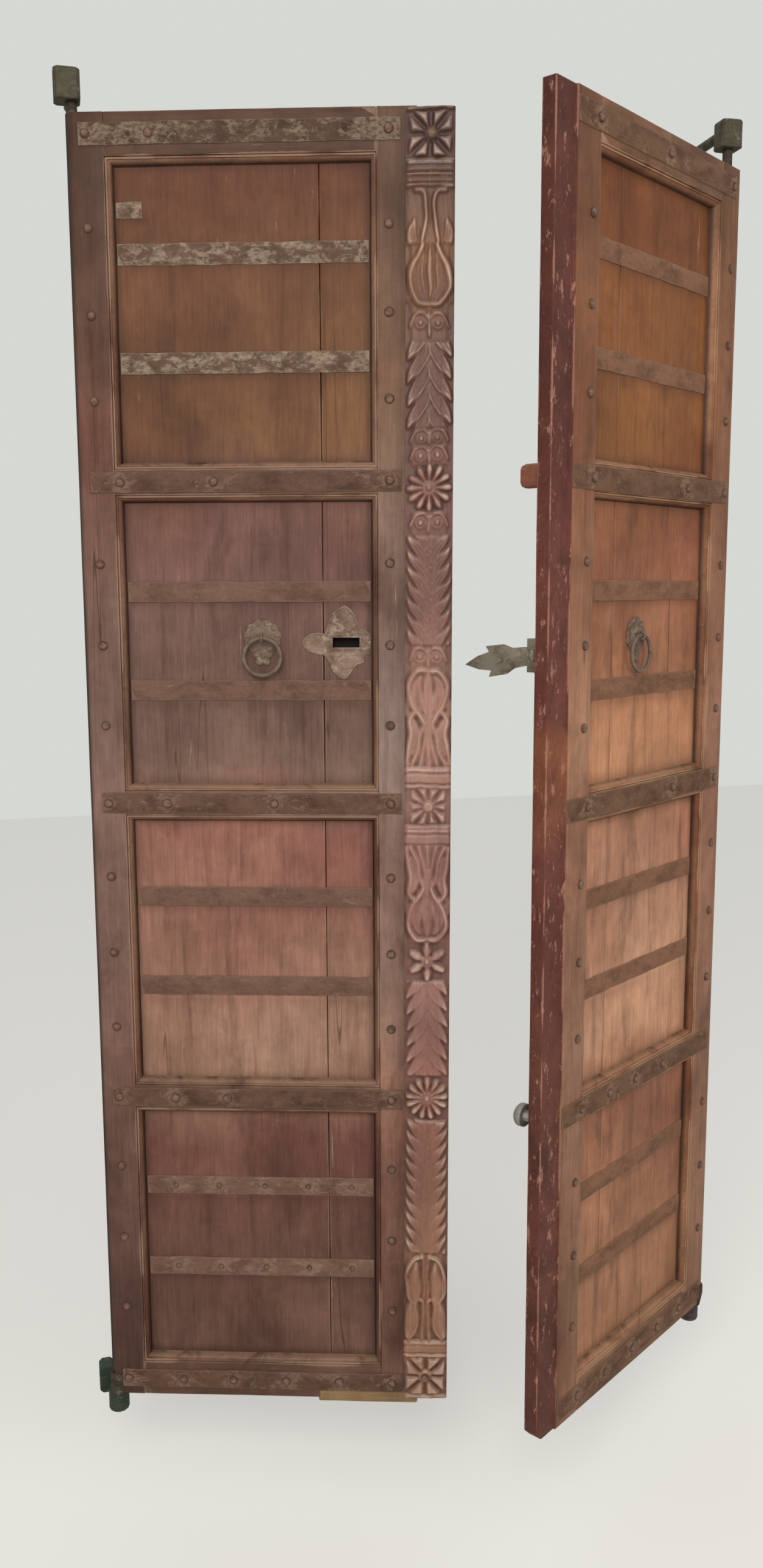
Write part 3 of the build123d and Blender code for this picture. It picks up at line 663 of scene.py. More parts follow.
panel_paint = {
    left: panel_wood(
        "left_panel_paint", left,
        (0.058, 0.50, (102, 74, 64), (126, 94, 80), (108, 70, 62), (130, 88, 76)),
        (0.54, 0.98, (146, 112, 94), (168, 132, 112), (136, 88, 78), (158, 110, 96)),
        (1.01, 1.46, (114, 88, 78), (136, 108, 96), (102, 70, 66), (120, 86, 80)),
        (1.50, 1.94, (108, 72, 50), (128, 90, 60), (88, 50, 37), (108, 68, 48))),
    right: panel_wood(
        "right_panel_paint", right,
        (0.08, 0.53, (146, 100, 76), (172, 124, 94), (148, 98, 76), (172, 120, 92)),
        (0.55, 0.96, (192, 142, 112), (214, 168, 136), (184, 128, 104), (206, 154, 126)),
        (1.02, 1.44, (172, 118, 86), (196, 142, 106), (142, 88, 66), (166, 110, 82)),
        (1.51, 1.93, (132, 82, 48), (152, 100, 58), (112, 65, 38), (134, 83, 49))),
}
print("with the panel finishes:", len(bpy.data.materials))

# %% Rails and ledgers
RAILS = ("top", "upper", "middle", "lower", "bottom")
RAIL_CELL, LEDGER_CELL = (0.02, 0.02, 0.012), (0.03, 0.03, 0.02)


def board(node, leaf, slot, material, cell, **shape):
    """A timber at the place of a CAD node."""
    low, high = box_of(node, leaf)
    return hang(timber(node + "_wood", leaf, low, high, cell, **shape), leaf, material, (node,))


for leaf in leaves:
    name = leaf.name
    for rail in RAILS:
        board(name + "_" + rail + "_rail", leaf, name + "_frame_wood", rail_wood[leaf], RAIL_CELL)
    for index, (low, high) in enumerate(solids_of(name + "_ledgers", leaf)):
        piece = timber("%s_ledger_%d" % (name, index + 1), leaf, low, high, LEDGER_CELL, round_off=0.003)
        hang(piece, leaf, ledger_wood[leaf], (name + "_ledgers",) if index == 0 else ())

# %% The slot of the lock
SLOT_LOW, SLOT_HIGH = Vector((0.379, 0.0, 1.2335)), Vector((0.420, 0.0, 1.2485))
SLOT_SIZE = SLOT_HIGH - SLOT_LOW
SLOT_MIDDLE = (SLOT_LOW + SLOT_HIGH) / 2
SLOT_MARGIN = 0.0004


def in_slot(point):
    return (SLOT_LOW.x - SLOT_MARGIN < point.x < SLOT_HIGH.x + SLOT_MARGIN
            and SLOT_LOW.z - SLOT_MARGIN < point.z < SLOT_HIGH.z + SLOT_MARGIN)


def cut_slot(piece, front, back):
    """Cut the slot into a piece, from front to back."""
    cutter = box("slot_cutter", (SLOT_MIDDLE.x, (front + back) / 2, SLOT_MIDDLE.z),
                 (SLOT_SIZE.x, back - front, SLOT_SIZE.z))
    modify(piece, "BOOLEAN", operation="DIFFERENCE", object=cutter)
    bpy.data.objects.remove(cutter)


print("slot", [round(value, 4) for value in SLOT_SIZE])

# %% Dirt and painted shade on the planks
MOULDING_WIDTH = 0.011
# How dark the dirt and painted shade are along the mouldings, and the painted shadow under the straps, and
# how far each reaches.
BORDER_DIRT_AND_SHADE, BORDER_REACH = 0.62, 0.009
STRAP_SHADOW, STRAP_SHADOW_REACH = 0.5, 0.016
SLOT_SHADOW = 2.0


def mark_grime_and_shade(piece, leaf):
    """Store dirt and painted shade by a plank's panel border, painted shadow below its straps, and black in
    the slot.
    """
    panels = [box_of("%s_moulding_%d" % (leaf.name, index + 1), leaf) for index in range(4)]
    straps = solids_of(leaf.name + "_panel_straps", leaf)
    values = []
    for vertex in piece.data.vertices:
        u, z = leaf.side * vertex.co.x, vertex.co.z
        gap = max(min(u - low.x, high.x - u, z - low.z, high.z - z) for low, high in panels) - MOULDING_WIDTH
        share = BORDER_DIRT_AND_SHADE * math.exp(-max(0.0, gap) / BORDER_REACH)
        # Below each strap, a painted shadow.
        for low, high in straps:
            if low.x - 0.01 < u < high.x + 0.01 and low.z - 0.06 < z < low.z + 0.006:
                share = max(share, STRAP_SHADOW * math.exp(-max(0.0, low.z - z) / STRAP_SHADOW_REACH))
        # In the slot, a nearly black painted shadow.
        if leaf is left and in_slot(vertex.co):
            share = SLOT_SHADOW
        values.append(share)
    store(piece, "grime", values)


# %% Planks
PLANK_CELL = (0.012, 0.02, 0.012)
# What is left of the plank behind the slot, so that the slot lets no light through; its floor is painted as a
# nearly black shadow.
SLOT_BACK = 0.003
plank_nodes = {left: ("left_wide_plank", "left_narrow_plank"), right: ("right_planks",)}
plank_boxes = {left: [box_of(node, left) for node in plank_nodes[left]],
               right: solids_of("right_planks", right)}


def plank(name, leaf, low, high, replaced):
    piece = timber(name, leaf, low, high, PLANK_CELL, wave=0.0012)
    if low.x < SLOT_LOW.x < high.x and leaf is left:
        cut_slot(piece, low.y - 0.01, high.y - SLOT_BACK)
    mark_grime_and_shade(piece, leaf)
    return hang(piece, leaf, panel_paint[leaf], replaced)


for node, (low, high) in zip(plank_nodes[left], plank_boxes[left]):
    plank(node + "_wood", left, low, high, (node,))
for index, (low, high) in enumerate(plank_boxes[right]):
    plank("right_plank_%d" % (index + 1), right, low, high, ("right_planks",) if index == 0 else ())

# A thin tongue behind each seam keeps the light out; it is painted dark, as the shade in the seam.
for leaf in leaves:
    (first_low, first_high), (second_low, _) = sorted(plank_boxes[leaf], key=lambda corners: corners[0].x)
    tongue_low = Vector((first_high.x - 0.002, first_low.y + 0.009, first_low.z))
    tongue_high = Vector((second_low.x + 0.002, first_low.y + 0.013, first_high.z))
    tongue = timber(leaf.name + "_tongue", leaf, tongue_low, tongue_high, (0.02, 0.02, 0.04), 0.0004, 0.0002)
    store(tongue, "grime", [1.0] * len(tongue.data.vertices))
    hang(tongue, leaf, panel_paint[leaf])

# %% [markdown]
# ### Stiles
# The hinge stile keeps its heel cut off, so that it clears its sockets as it turns, and a lap for the
# planks behind. The meeting stile of the right leaf has a rebate along its free edge, with a bead beside
# it, where the two leaves meet. Their outline is too particular for a box, so each starts as a copy of the
# CAD timber: its doubles are merged, its arrises are rounded, and bisecting planes cut it across to let it
# ripple.

# %% Timbers shaped from their CAD outline
SLICE_PITCH = 0.03


def outline_copy(name, node, leaf, width):
    """A merged copy of a CAD node in the leaf's axes, with its arrises rounded."""
    piece = copy_of(frame["nodes"][node].data, name)
    piece.data.transform(leaf.back)
    edit(piece)
    bpy.ops.mesh.remove_doubles(threshold=TOUCHING)
    bpy.ops.mesh.dissolve_limited(angle_limit=math.radians(1))
    leave_edit()
    round_arrises(piece, width, 25)
    return piece


def sliced_copy(node, leaf, width, slices, layers=()):
    """Such a copy, cut across at every pitch of its height, and at the given places in u and depths."""
    piece = outline_copy(node + "_wood", node, leaf, width)
    heights = [vertex.co.z for vertex in piece.data.vertices]
    edit(piece)
    level = min(heights) + SLICE_PITCH
    while level < max(heights) - SLICE_PITCH / 2:
        bisect((0, 0, level), (0, 0, 1))
        level += SLICE_PITCH
    for place in slices:
        bisect((leaf.side * place, 0, 0), (1, 0, 0))
    for depth in layers:
        bisect((0, depth, 0), (0, 1, 0))
    leave_edit()
    return piece


def mark_arrises(piece, leaf, *arrises):
    """Store on each vertex its distance, in u and d, from the nearest of the given upright arrises."""
    store(piece, "edge", [min(math.hypot(vertex.co.x - leaf.side * u, vertex.co.y - d) for u, d in arrises)
                          for vertex in piece.data.vertices])


def finish_stile(piece, node, leaf, material):
    ripple(piece, 0.12, 0.0010)
    smooth(piece)
    return hang(piece, leaf, material, (node,))


# %% Hinge stiles
# The heel is painted in shade as far as this from the hinge edge.
SHADED_HEEL = 0.0072


def hinge_stile(leaf):
    node = leaf.name + "_hinge_stile"
    low, high = box_of(node, leaf)
    stile = sliced_copy(node, leaf, 0.002, (low.x + 0.016, low.x + 0.028, high.x - 0.014))
    mark_arrises(stile, leaf, (high.x, 0))
    # The heel is painted dark, as if in shade.
    store(stile, "grime", [1.0 if leaf.side * vertex.co.x < SHADED_HEEL else 0.0 for vertex in stile.data.vertices])
    finish_stile(stile, node, leaf, frame_wood[leaf])
    print(node, "faces", len(stile.data.polygons))


# %% Meeting stiles
REBATE = 0.048


def meeting_stile(leaf):
    node = leaf.name + "_meeting_stile"
    low, high = box_of(node, leaf)
    rebate = high.x - REBATE
    slices = (low.x + 0.01, low.x + 0.025, rebate - 0.012, rebate + 0.01, high.x - 0.024, high.x - 0.009)
    stile = sliced_copy(node, leaf, 0.0016, slices, (0.009, 0.015, 0.021))
    if leaf is left:
        mark_arrises(stile, left, (low.x, 0), (high.x, 0))
        finish_stile(stile, node, left, meeting_wood)
    else:
        mark_arrises(stile, right, (low.x, 0), (rebate, 0), (high.x, 0.0035), (high.x, high.y))
        finish_stile(stile, node, right, edge_wood)
        # The face beside the rebate has the paint of the other timbers.
        stile.data.materials.append(frame_wood[right])
        for face in stile.data.polygons:
            spot = right.back @ face.center
            if -spot.x < rebate - 0.004 and (right.back.to_3x3() @ face.normal).y < 0.5:
                face.material_index = 1
    print(node, "faces", len(stile.data.polygons))


for leaf in leaves:
    hinge_stile(leaf)
    meeting_stile(leaf)

# %% The patch at the foot and the peg
patch_paint = wood("foot_patch_paint", left, LEVEL, (92, 70, 50), (190, 180, 160),
                   (0, (142, 112, 80), (162, 134, 100)), chips=0.3, rubbed=0.6)
board("left_foot_patch", left, "patch_wood", patch_paint, (0.01, 0.02, 0.01), round_off=0.003, wave=0.0015)
peg_paint = wood("peg_paint", right, (1, 0.2, 1), (76, 44, 34), (186, 136, 112),
                 (0, (124, 76, 60), (146, 96, 76)), rubbed=0.8)
board("right_back_peg", right, "peg_wood", peg_paint, (0.008, 0.01, 0.008), round_off=0.0085, wave=0.002)

# %% [markdown]
# ### Mouldings
# A mitred moulding runs round each panel: a small bead beside the stile, a groove, and a slope down to the
# panel. One way is to sweep a section round the opening. Here a plane of the opening's size is inset again
# and again, each time with a depth, which cuts the mitres by itself. The middle face is then taken out and
# the back closed.

# %% Panel mouldings
# Each step goes in from the border by a width, and out or back by a depth.
MOULDING_STEPS = ((0.0006, 0.0012), (0.0012, 0.0008), (0.0014, -0.0006), (0.0006, -0.0022), (0.0010, -0.0002),
                  (0.0026, -0.0036), (0.0018, -0.0052), (0.0010, -0.0020), (0.0008, -0.0010))
# How far the plane starts behind the highest point, which leaves room for the bead.
BEAD_ROOM = 0.0008


def panel_moulding(node, leaf, material):
    low, high = box_of(node, leaf)
    size = high - low
    middle = (low + high) / 2
    x = leaf.side * middle.x
    deselect()
    bpy.ops.mesh.primitive_plane_add(size=1, rotation=(math.radians(90), 0, 0))
    piece = placed(node + "_wood")
    edit(piece)
    bpy.ops.transform.resize(value=(size.x, 1, size.z))
    bpy.ops.transform.translate(value=(x, low.y + BEAD_ROOM, middle.z))
    for width, rise in MOULDING_STEPS:
        bpy.ops.mesh.inset(thickness=width, depth=rise, use_boundary=True)
    bpy.ops.mesh.delete(type="FACE")
    leave_edit()

    def on_border(p):
        return p.y < low.y + 0.0012 and (abs(abs(p.x - x) - size.x / 2) < TOUCHING
                                         or abs(abs(p.z - middle.z) - size.z / 2) < TOUCHING)

    edit_edges(piece, lambda a, b: on_border(a) and on_border(b))
    extrude_edges(high.y - low.y - BEAD_ROOM)
    leave_edit()
    for axis, cuts in ((2, 18), (0, 16)):
        edit_edges(piece, lambda a, b: abs((a - b).length - size[axis]) < size[axis] * 0.2
                   and abs(a[2 - axis] - b[2 - axis]) < 0.001)
        bpy.ops.mesh.subdivide(number_cuts=cuts)
        leave_edit()
    edit(piece)
    face_outwards()
    leave_edit()
    depths = [vertex.co.y - low.y for vertex in piece.data.vertices]
    store(piece, "edge", [max(0.0, depth + 0.0016) for depth in depths])
    # Deeper in, towards the panel, the moulding is darker: dirt and a painted shadow at the panel's edge.
    store(piece, "grime", [max(0.0, min(1.0, (depth - 0.003) / 0.009)) for depth in depths])
    ripple(piece, 0.09, 0.0007)
    smooth(piece, 50)
    return hang(piece, leaf, material, (node,))


moulding_colors = {left: ((46, 28, 24), (168, 136, 114), (0, (98, 64, 52), (132, 98, 80))),
                   right: ((56, 32, 24), (184, 144, 114), (0, (118, 76, 54), (152, 110, 82)))}
for leaf in leaves:
    moulding_paint = wood(leaf.name + "_moulding_paint", leaf, (1, 1, 1), *moulding_colors[leaf], patches=1.0,
                          streaks=0.3, chips=0.1, rubbed=0.7)
    for index in range(4):
        panel_moulding("%s_moulding_%d" % (leaf.name, index + 1), leaf, moulding_paint)

# %% [markdown]
# ## Iron straps
# Thin straps are nailed across every rail and twice across every panel. They were cut by hand, so their
# edges wander and they have buckled a little between the nails. A box is divided along its length, and
# three displacements move it: two up and down, a long swell and a short one, which make the edges wander,
# and one in and out.

# %% Strap finishes
strap_iron = {
    left: iron("left_strap_paint", left, (108, 80, 66), (78, 56, 46), (140, 114, 98)),
    right: iron("right_strap_paint", right, (118, 88, 68), (86, 60, 46), (152, 124, 102), 0.35, 0.02),
}
top_strap_iron = iron("top_strap_paint", left, (92, 70, 58), (66, 48, 39), (152, 132, 112), 0.4, 0.42)
pale_strap_iron = iron("pale_strap_paint", left, (106, 82, 68), (82, 62, 50), (172, 154, 134), 0.3, 0.5)
panel_strap_iron = {
    left: iron("left_panel_strap_paint", left, (122, 92, 78), (94, 68, 57), (148, 122, 106), 0.2, 0.1),
    right: iron("right_panel_strap_paint", right, (138, 100, 78), (104, 74, 57), (160, 128, 104), 0.25, 0.05),
}
print("with the strap finishes:", len(bpy.data.materials))

# %% Wear on a strap
nail_spots = {leaf: [((low.x + high.x) / 2, (low.z + high.z) / 2)
                     for low, high in solids_of(leaf.name + "_nails", leaf)] for leaf in leaves}
# The paint is shed round a nail from its radius on, over this reach, and the rim is this wide.
NAIL_RADIUS, SHED_REACH = 0.008, 0.016
RIM_WIDTH = 0.008


def mark_strap(piece, leaf, low, high):
    """Store where paint is shed round the nails, and the rim along the edges."""
    worn, rim = [], []
    for vertex in piece.data.vertices:
        u, z = leaf.side * vertex.co.x, vertex.co.z
        gap = min(math.hypot(u - nail_u, z - nail_z) for nail_u, nail_z in nail_spots[leaf])
        worn.append(math.exp(-max(0.0, gap - NAIL_RADIUS) / SHED_REACH))
        rim.append(max(0.0, 1.0 - min(z - low.z, high.z - z, u - low.x, high.x - u) / RIM_WIDTH))
    store(piece, "worn", worn)
    store(piece, "rim", rim)


print("nails on each leaf:", [len(spots) for spots in nail_spots.values()])

# %% Making the straps
STRAP_CELL = (0.008, 0.01, 0.0105)
STRAP_RIPPLES = ((0.034, 0.0026, "Z"), (0.012, 0.0014, "Z"), (0.05, 0.0011, "Y"))


def strap(name, leaf, low, high):
    piece = divided_box(name, leaf, low, high, STRAP_CELL)

    def on_arris(p):
        return abs(p.y - low.y) < TOUCHING and min(abs(p.z - low.z), abs(p.z - high.z)) < TOUCHING

    edit_edges(piece, lambda a, b: on_arris(a) and on_arris(b))
    bpy.ops.mesh.bevel(offset=0.0008, segments=2, affect="EDGES")
    leave_edit()
    mark_strap(piece, leaf, low, high)
    for swell in STRAP_RIPPLES:
        ripple(piece, *swell)
    smooth(piece, 50)
    return piece


for leaf in leaves:
    for rail in RAILS:
        node = "%s_%s_strap" % (leaf.name, rail)
        material = top_strap_iron if leaf is left and rail == "top" else strap_iron[leaf]
        piece = strap(node + "_iron", leaf, *box_of(node, leaf))
        hang(piece, leaf, material, (node,))
    node = leaf.name + "_panel_straps"
    for index, (low, high) in enumerate(solids_of(node, leaf)):
        piece = strap("%s_panel_strap_%d" % (leaf.name, index + 1), leaf, low, high)
        material = pale_strap_iron if leaf is left and low.z > 1.6 else panel_strap_iron[leaf]
        hang(piece, leaf, material, (node,) if index == 0 else ())

# %% [markdown]
# ## Nails
# Every nail has a domed head, hammered a little flat. The CAD has a low facetted head at each place. One
# head is modelled, from the upper half of a sphere, and copied to every place with its own turn.

# %% Nail heads
nail_iron = {leaf: iron(leaf.name + "_nail_paint", leaf, (108, 80, 68), (82, 60, 50), (150, 124, 108),
                        flaking=0.08, scale=1.6) for leaf in leaves}
# Each head is turned by this much more than the last, in radians.
NAIL_TURN = 1.3


def nail_model():
    """One head of radius 1 and height 1 on the ground, dirty and painted in shade at its foot, its crown worn
    pale with a painted highlight.
    """
    deselect()
    bpy.ops.mesh.primitive_uv_sphere_add(segments=14, ring_count=8, radius=1)
    model = named("nail_model")
    edit(model)
    bisect((0, 0, 0.05), (0, 0, 1), clear_inner=True, use_fill=True)
    leave_edit()
    levels = [vertex.co.z for vertex in model.data.vertices]
    store(model, "grime", [max(0.0, 1.0 - level / 0.36) for level in levels])
    store(model, "worn", [min(1.0, max(0.0, level - 0.5) * 2.4) for level in levels])
    ripple(model, 0.6, 0.14)
    return model


def nail_heads(node, leaf):
    model = nail_model()
    face_out = Matrix.Rotation(math.radians(90), 4, "X")
    heads = []
    for index, (low, high) in enumerate(solids_of(node, leaf)):
        radius = (high.z - low.z) / 2
        head = copy_of(model.data, "head")
        turn = Matrix.Rotation(index * NAIL_TURN, 4, "Z")
        size = Matrix.Diagonal((radius, radius, (high.y - low.y) * 1.04, 1))
        place = Matrix.Translation((leaf.side * (low.x + high.x) / 2, high.y, (low.z + high.z) / 2))
        head.data.transform(place @ face_out @ size @ turn)
        heads.append(head)
    bpy.data.objects.remove(model)
    piece = join(heads, node + "_iron")
    smooth(piece, 60)
    return hang(piece, leaf, nail_iron[leaf], (node,))


for leaf in leaves:
    nail_heads(leaf.name + "_nails", leaf)

# %% [markdown]
# ## The carved post
# The post is a band of traditional ornament: rosettes, palmettes and sprays of leaves, cut about a
# centimetre deep. Its hollows and rounded leaves can't be had from insets and bevels, so it is made as a
# carver works, from the front: a fine grid is added, and each of its points is pushed back to the depth
# that the motifs leave there.

# %% Brushes of the carver, all in millimetres
# The full depth of the carving, and the seed of its small irregularities.
RELIEF = 10.0
luck = np.random.default_rng(11)
POST_REACH = 2600


def soft(inside, edge):
    """0 outside a form, 1 well inside it, rounded between."""
    share = np.clip(inside / edge, 0, 1)
    return share * share * (3 - 2 * share)


def wander(z, pitch, size):
    """A smooth random drift along the post, so that no two leaves are alike."""
    knots = luck.normal(0, size, int(POST_REACH / pitch) + 3)
    place = np.clip(z / pitch, 0, len(knots) - 2)
    low = np.floor(place).astype(int)
    share = place - low
    share = share * share * (3 - 2 * share)
    return knots[low] * (1 - share) + knots[low + 1] * share


def curve(points, steps=5):
    """A smooth run through a few points."""
    p = [np.array(q, float) for q in (points[0], *points, points[-1])]
    run = []
    for a, b, c, d in zip(p, p[1:], p[2:], p[3:]):
        for t in np.linspace(0, 1, steps, endpoint=False):
            run.append(tuple(0.5 * (2 * b + (c - a) * t + (2 * a - 5 * b + 4 * c - d) * t * t
                                    + (3 * b - a - 3 * c + d) * t ** 3)))
    return run + [tuple(p[-1])]


def follow(x, z, points):
    """For each point of the ground: how far along a run it lies, from 0 to 1, and how far to its left."""
    nearest = np.full(x.shape, 1e9)
    along = np.zeros(x.shape)
    aside = np.zeros(x.shape)
    runs = len(points) - 1
    for index in range(runs):
        (ax, az), (bx, bz) = points[index], points[index + 1]
        dx, dz = bx - ax, bz - az
        share = np.clip(((x - ax) * dx + (z - az) * dz) / (dx * dx + dz * dz), 0, 1)
        gap_x, gap_z = x - ax - share * dx, z - az - share * dz
        gap = np.hypot(gap_x, gap_z)
        closer = gap < nearest
        nearest = np.where(closer, gap, nearest)
        along = np.where(closer, (index + share) / runs, along)
        aside = np.where(closer, np.sign(dx * gap_z - dz * gap_x) * gap, aside)
    return along, aside


# %% Leaves, petals, ribbons and curls
def leaf_edge(x, z, points, width, blunt):
    """A leaf along a bent spine: how far along it and aside, half its width there, and how far inside."""
    along, aside = follow(x, z, curve(points))
    inner = np.clip(along, 0.001, 0.999)
    half = width / 2 * np.sin(np.pi * inner ** blunt) ** 0.7
    inside = np.where((along > 0) & (along < 1), half - np.abs(aside), -9)
    return inner, aside, half, inside


def leaf_form(x, z, points, width, rise=1.0, lean=0.0, vein=0.25):
    """A leaf scooped with a round gouge: raised rims, a hollow, and a vein in it."""
    inner, aside, half, inside = leaf_edge(x, z, points, width, 0.75)
    share = np.clip(aside / np.maximum(half, 0.5), -1, 1)
    scoop = 0.42 + 0.58 * np.abs(share) ** 1.6 * (1 + lean * np.sign(share))
    scoop = scoop + vein * np.exp(-(aside / 1.1) ** 2)
    return RELIEF * rise * soft(inside, 1.8) * scoop * (0.62 + 0.38 * inner)


def round_over(inside):
    """The height of a full round form, from how far inside it a point lies as a share of its half width."""
    return np.sqrt(np.clip(inside, 0, 1))


def petal_form(x, z, points, width, rise):
    """A leaf left round and full, highest along its spine."""
    inner, aside, half, inside = leaf_edge(x, z, points, width, 1.0)
    return RELIEF * rise * round_over(1 - (aside / np.maximum(half, 0.5)) ** 2) * soft(inside, 1.0)


def ribbon(x, z, points, width, rise, taper=0.5):
    """A rounded band along a run of points, thinner at its ends."""
    along, aside = follow(x, z, points)
    inside = width / 2 * (1 - taper * (2 * along - 1) ** 2) - np.abs(aside)
    return RELIEF * rise * round_over(inside / (width / 2)) * soft(inside, 1.0)


def curl(x, z, u, v, radius, rise=0.85):
    """A round boss in a groove in a ring, as the end of a scroll."""
    r = np.hypot(x - u, z - v) / radius
    return RELIEF * rise * (soft(1 - r, 0.28) * (1 - 0.85 * np.exp(-((r - 0.56) / 0.17) ** 2)))


def both(form, x, z, *places, **more):
    """The same form on both sides of the middle."""
    return np.maximum(form(x, z, *places, **more), form(-x, z, *places, **more))


def bank(*forms):
    """The highest of several forms."""
    height = forms[0]
    for form in forms[1:]:
        height = np.maximum(height, form)
    return height


def placer(low, high):
    """Turns places, each a distance from the middle and a share of a motif's height, into points."""
    return lambda *places: [(u, low + (high - low) * share) for u, share in places]


def ground(x, share, half=30, edge=5):
    """The floor that is left between the forms, lower towards the borders."""
    return RELIEF * share * soft(half - np.abs(x), edge)


# %% The motifs of bars, rosettes and scrolls
def petal_turn(x, z, v, petals, shift=0.0):
    """The distance from a centre, and how far a point lies from the nearest gap between petals."""
    turn = np.abs((np.arctan2(x, z - v) * petals / (2 * np.pi) + shift) % 1 - 0.5) * 2
    return np.hypot(x, z - v), turn


def rosette(x, z, low, high, petals):
    """Round petals with deep gaps between them, and a boss in a ring."""
    radius = min((high - low) / 2 + 2, 35)
    v = (low + high) / 2
    r, turn = petal_turn(x, z, v, petals)
    half = np.pi * r / petals
    aside = (1 - turn) * half
    width = np.minimum(half * 0.84, 1.0 + 6.2 * np.sqrt(np.clip(1 - r / radius, 0, 1) * 2.4))
    petal = RELIEF * round_over(1 - (aside / width) ** 2) * soft(radius - r, 3.0) * (0.6 + 0.4 * r / radius)
    ring = RELIEF * 0.55 * soft(radius * 0.34 - r, 2.0)
    return bank(petal, ring, curl(x, z, 0, v, radius * 0.3, 1.0))


def block(x, z, low, high, petals):
    """A square with petals that reach into its corners."""
    v = (low + high) / 2
    size = (high - low) / 2 - 5
    r, turn = petal_turn(x, z, v, petals, 0.5)
    corner = np.maximum(np.maximum(np.abs(x), np.abs(z - v)) / np.maximum(r, 0.1), 0.5)
    reach = np.minimum(size * 1.28, size / corner)
    half = np.pi * r / petals * 0.86
    inside = np.minimum(half - (1 - turn) * np.pi * r / petals, reach - r)
    petal = RELIEF * 0.95 * soft(inside, 4.5) * (0.7 + 0.3 * r / size)
    border = RELIEF * 0.75 * bank(soft(5 - (high - z), 1.5), soft(5 - (z - low), 1.5))
    return bank(petal, border, RELIEF * 0.2 + 0 * x, RELIEF * 0.8 * soft(size * 0.36 - r, 3.0))


def bar(x, z, low, high, count):
    """Flat bands with a groove between them."""
    share = ((z - low) / ((high - low) / count)) % 1
    lip = np.exp(-((share - 0.82) / 0.05) ** 2)
    groove = np.exp(-((share - 0.07) / 0.06) ** 2) + 0.7 * np.exp(-((share - 0.66) / 0.04) ** 2)
    return RELIEF * np.clip(0.62 + 0.25 * lip - 0.55 * groove, 0.05, 1)


def scrolls(x, z, low, high):
    """A pair of curls under a brow, with a bud between them."""
    radius = min((high - low) * 0.36, 9.5)
    v = (low + high) / 2
    brow = curve([(u, v + radius * up) for u, up in ((2, 0.4), (8, 1.45), (20, 1.1), (28, -0.6))])
    return bank(both(curl, x, z, radius + 3, v, radius), both(ribbon, x, z, brow, 8, 0.75),
                petal_form(x, z, [(0, high), (0, v), (0, low)], 9, 0.6), ground(x, 0.2, 28, 4))


# %% The motifs of leaves
def spray(x, z, low, high, pairs, rising):
    """Pairs of long gouged leaves that overlap along a stem. They rise, or hang where rising is -1."""
    pitch = (high - low) / pairs
    rise = (30 + pitch * 0.9) * rising
    first = 0 if rising > 0 else 1
    height = ribbon(x, z, [(0, low), (0, high)], 7.5, 0.7, 0.0) * (1 - 0.7 * np.exp(-(x / 0.9) ** 2))
    for index in range(-3, pairs + 3):
        for way in (-1, 1):
            root = low + pitch * (index + first) + way * 2.5
            spine = [(2.5, root), (8, root + rise * 0.3), (17, root + rise * 0.58), (26, root + rise * 0.8),
                     (32, root + rise)]
            height = bank(height, leaf_form(way * x, z, spine, pitch * 0.66, lean=0.25 * rising, vein=0.4))
    return height * soft(z - low, 3) * soft(high - z, 3)


def palmette(x, z, low, high, rising):
    """A pointed hood over two petals, on a forked stem. It stands, or hangs where rising is -1."""
    if rising < 0:
        z = low + high - z
    at = placer(low, high)
    hood = curve(at((3, 0.97), (17, 0.96), (29, 0.82), (24, 0.64), (12, 0.52), (6, 0.44)))
    outer = curve(at((18, 0.58), (28, 0.48), (25, 0.34), (29, 0.2), (33, 0.03)))
    inner = curve(at((7, 0.42), (13, 0.3), (16, 0.16), (26, 0.02)))
    leg = curve(at((4, 0.46), (5, 0.25), (13, 0.02)))
    return bank(both(ribbon, x, z, hood, 11, 0.95, 0.2), both(ribbon, x, z, outer, 11, 0.9, 0.2),
                both(ribbon, x, z, inner, 9, 0.8, 0.2), both(ribbon, x, z, leg, 7, 0.7, 0.1),
                both(leaf_form, x, z, at((8, 0.56), (15, 0.68), (17, 0.82), (9, 0.93)), 16, vein=0.0),
                both(leaf_form, x, z, at((29, 0.1), (20, 0.24), (19, 0.38), (23, 0.5)), 14, 0.95),
                both(leaf_form, x, z, at((31, 0.5), (33, 0.62), (33, 0.72)), 11, 0.6),
                leaf_form(x, z, at((0, 0.45), (0, 0.7), (0, 0.99)), 17, 0.85),
                ribbon(x, z, at((0, 0.0), (0, 0.5)), 6, 0.65, 0.0), ground(x, 0.16))


def ovals(x, z, low, high):
    """A palmette with two tiers of full oval leaves, as at the foot of the post."""
    at = placer(low, high)
    hood = curve(at((4, 0.97), (20, 0.92), (31, 0.74), (27, 0.5), (14, 0.42)))
    low_hood = curve(at((6, 0.46), (18, 0.5), (13, 0.26), (16, 0.12), (28, 0.0)))
    stem = curve(at((7, 0.99), (3, 0.9), (3.5, 0.4), (6, 0.0)))
    return bank(both(ribbon, x, z, hood, 8, 0.95, 0.2), both(ribbon, x, z, low_hood, 7.5, 0.9, 0.2),
                both(petal_form, x, z, at((15, 0.42), (18, 0.62), (15, 0.9)), 24, 0.8),
                both(petal_form, x, z, at((31, 0.02), (24, 0.24), (24, 0.46)), 22, 0.8),
                both(ribbon, x, z, stem, 5.5, 0.8, 0.0), ground(x, 0.16))


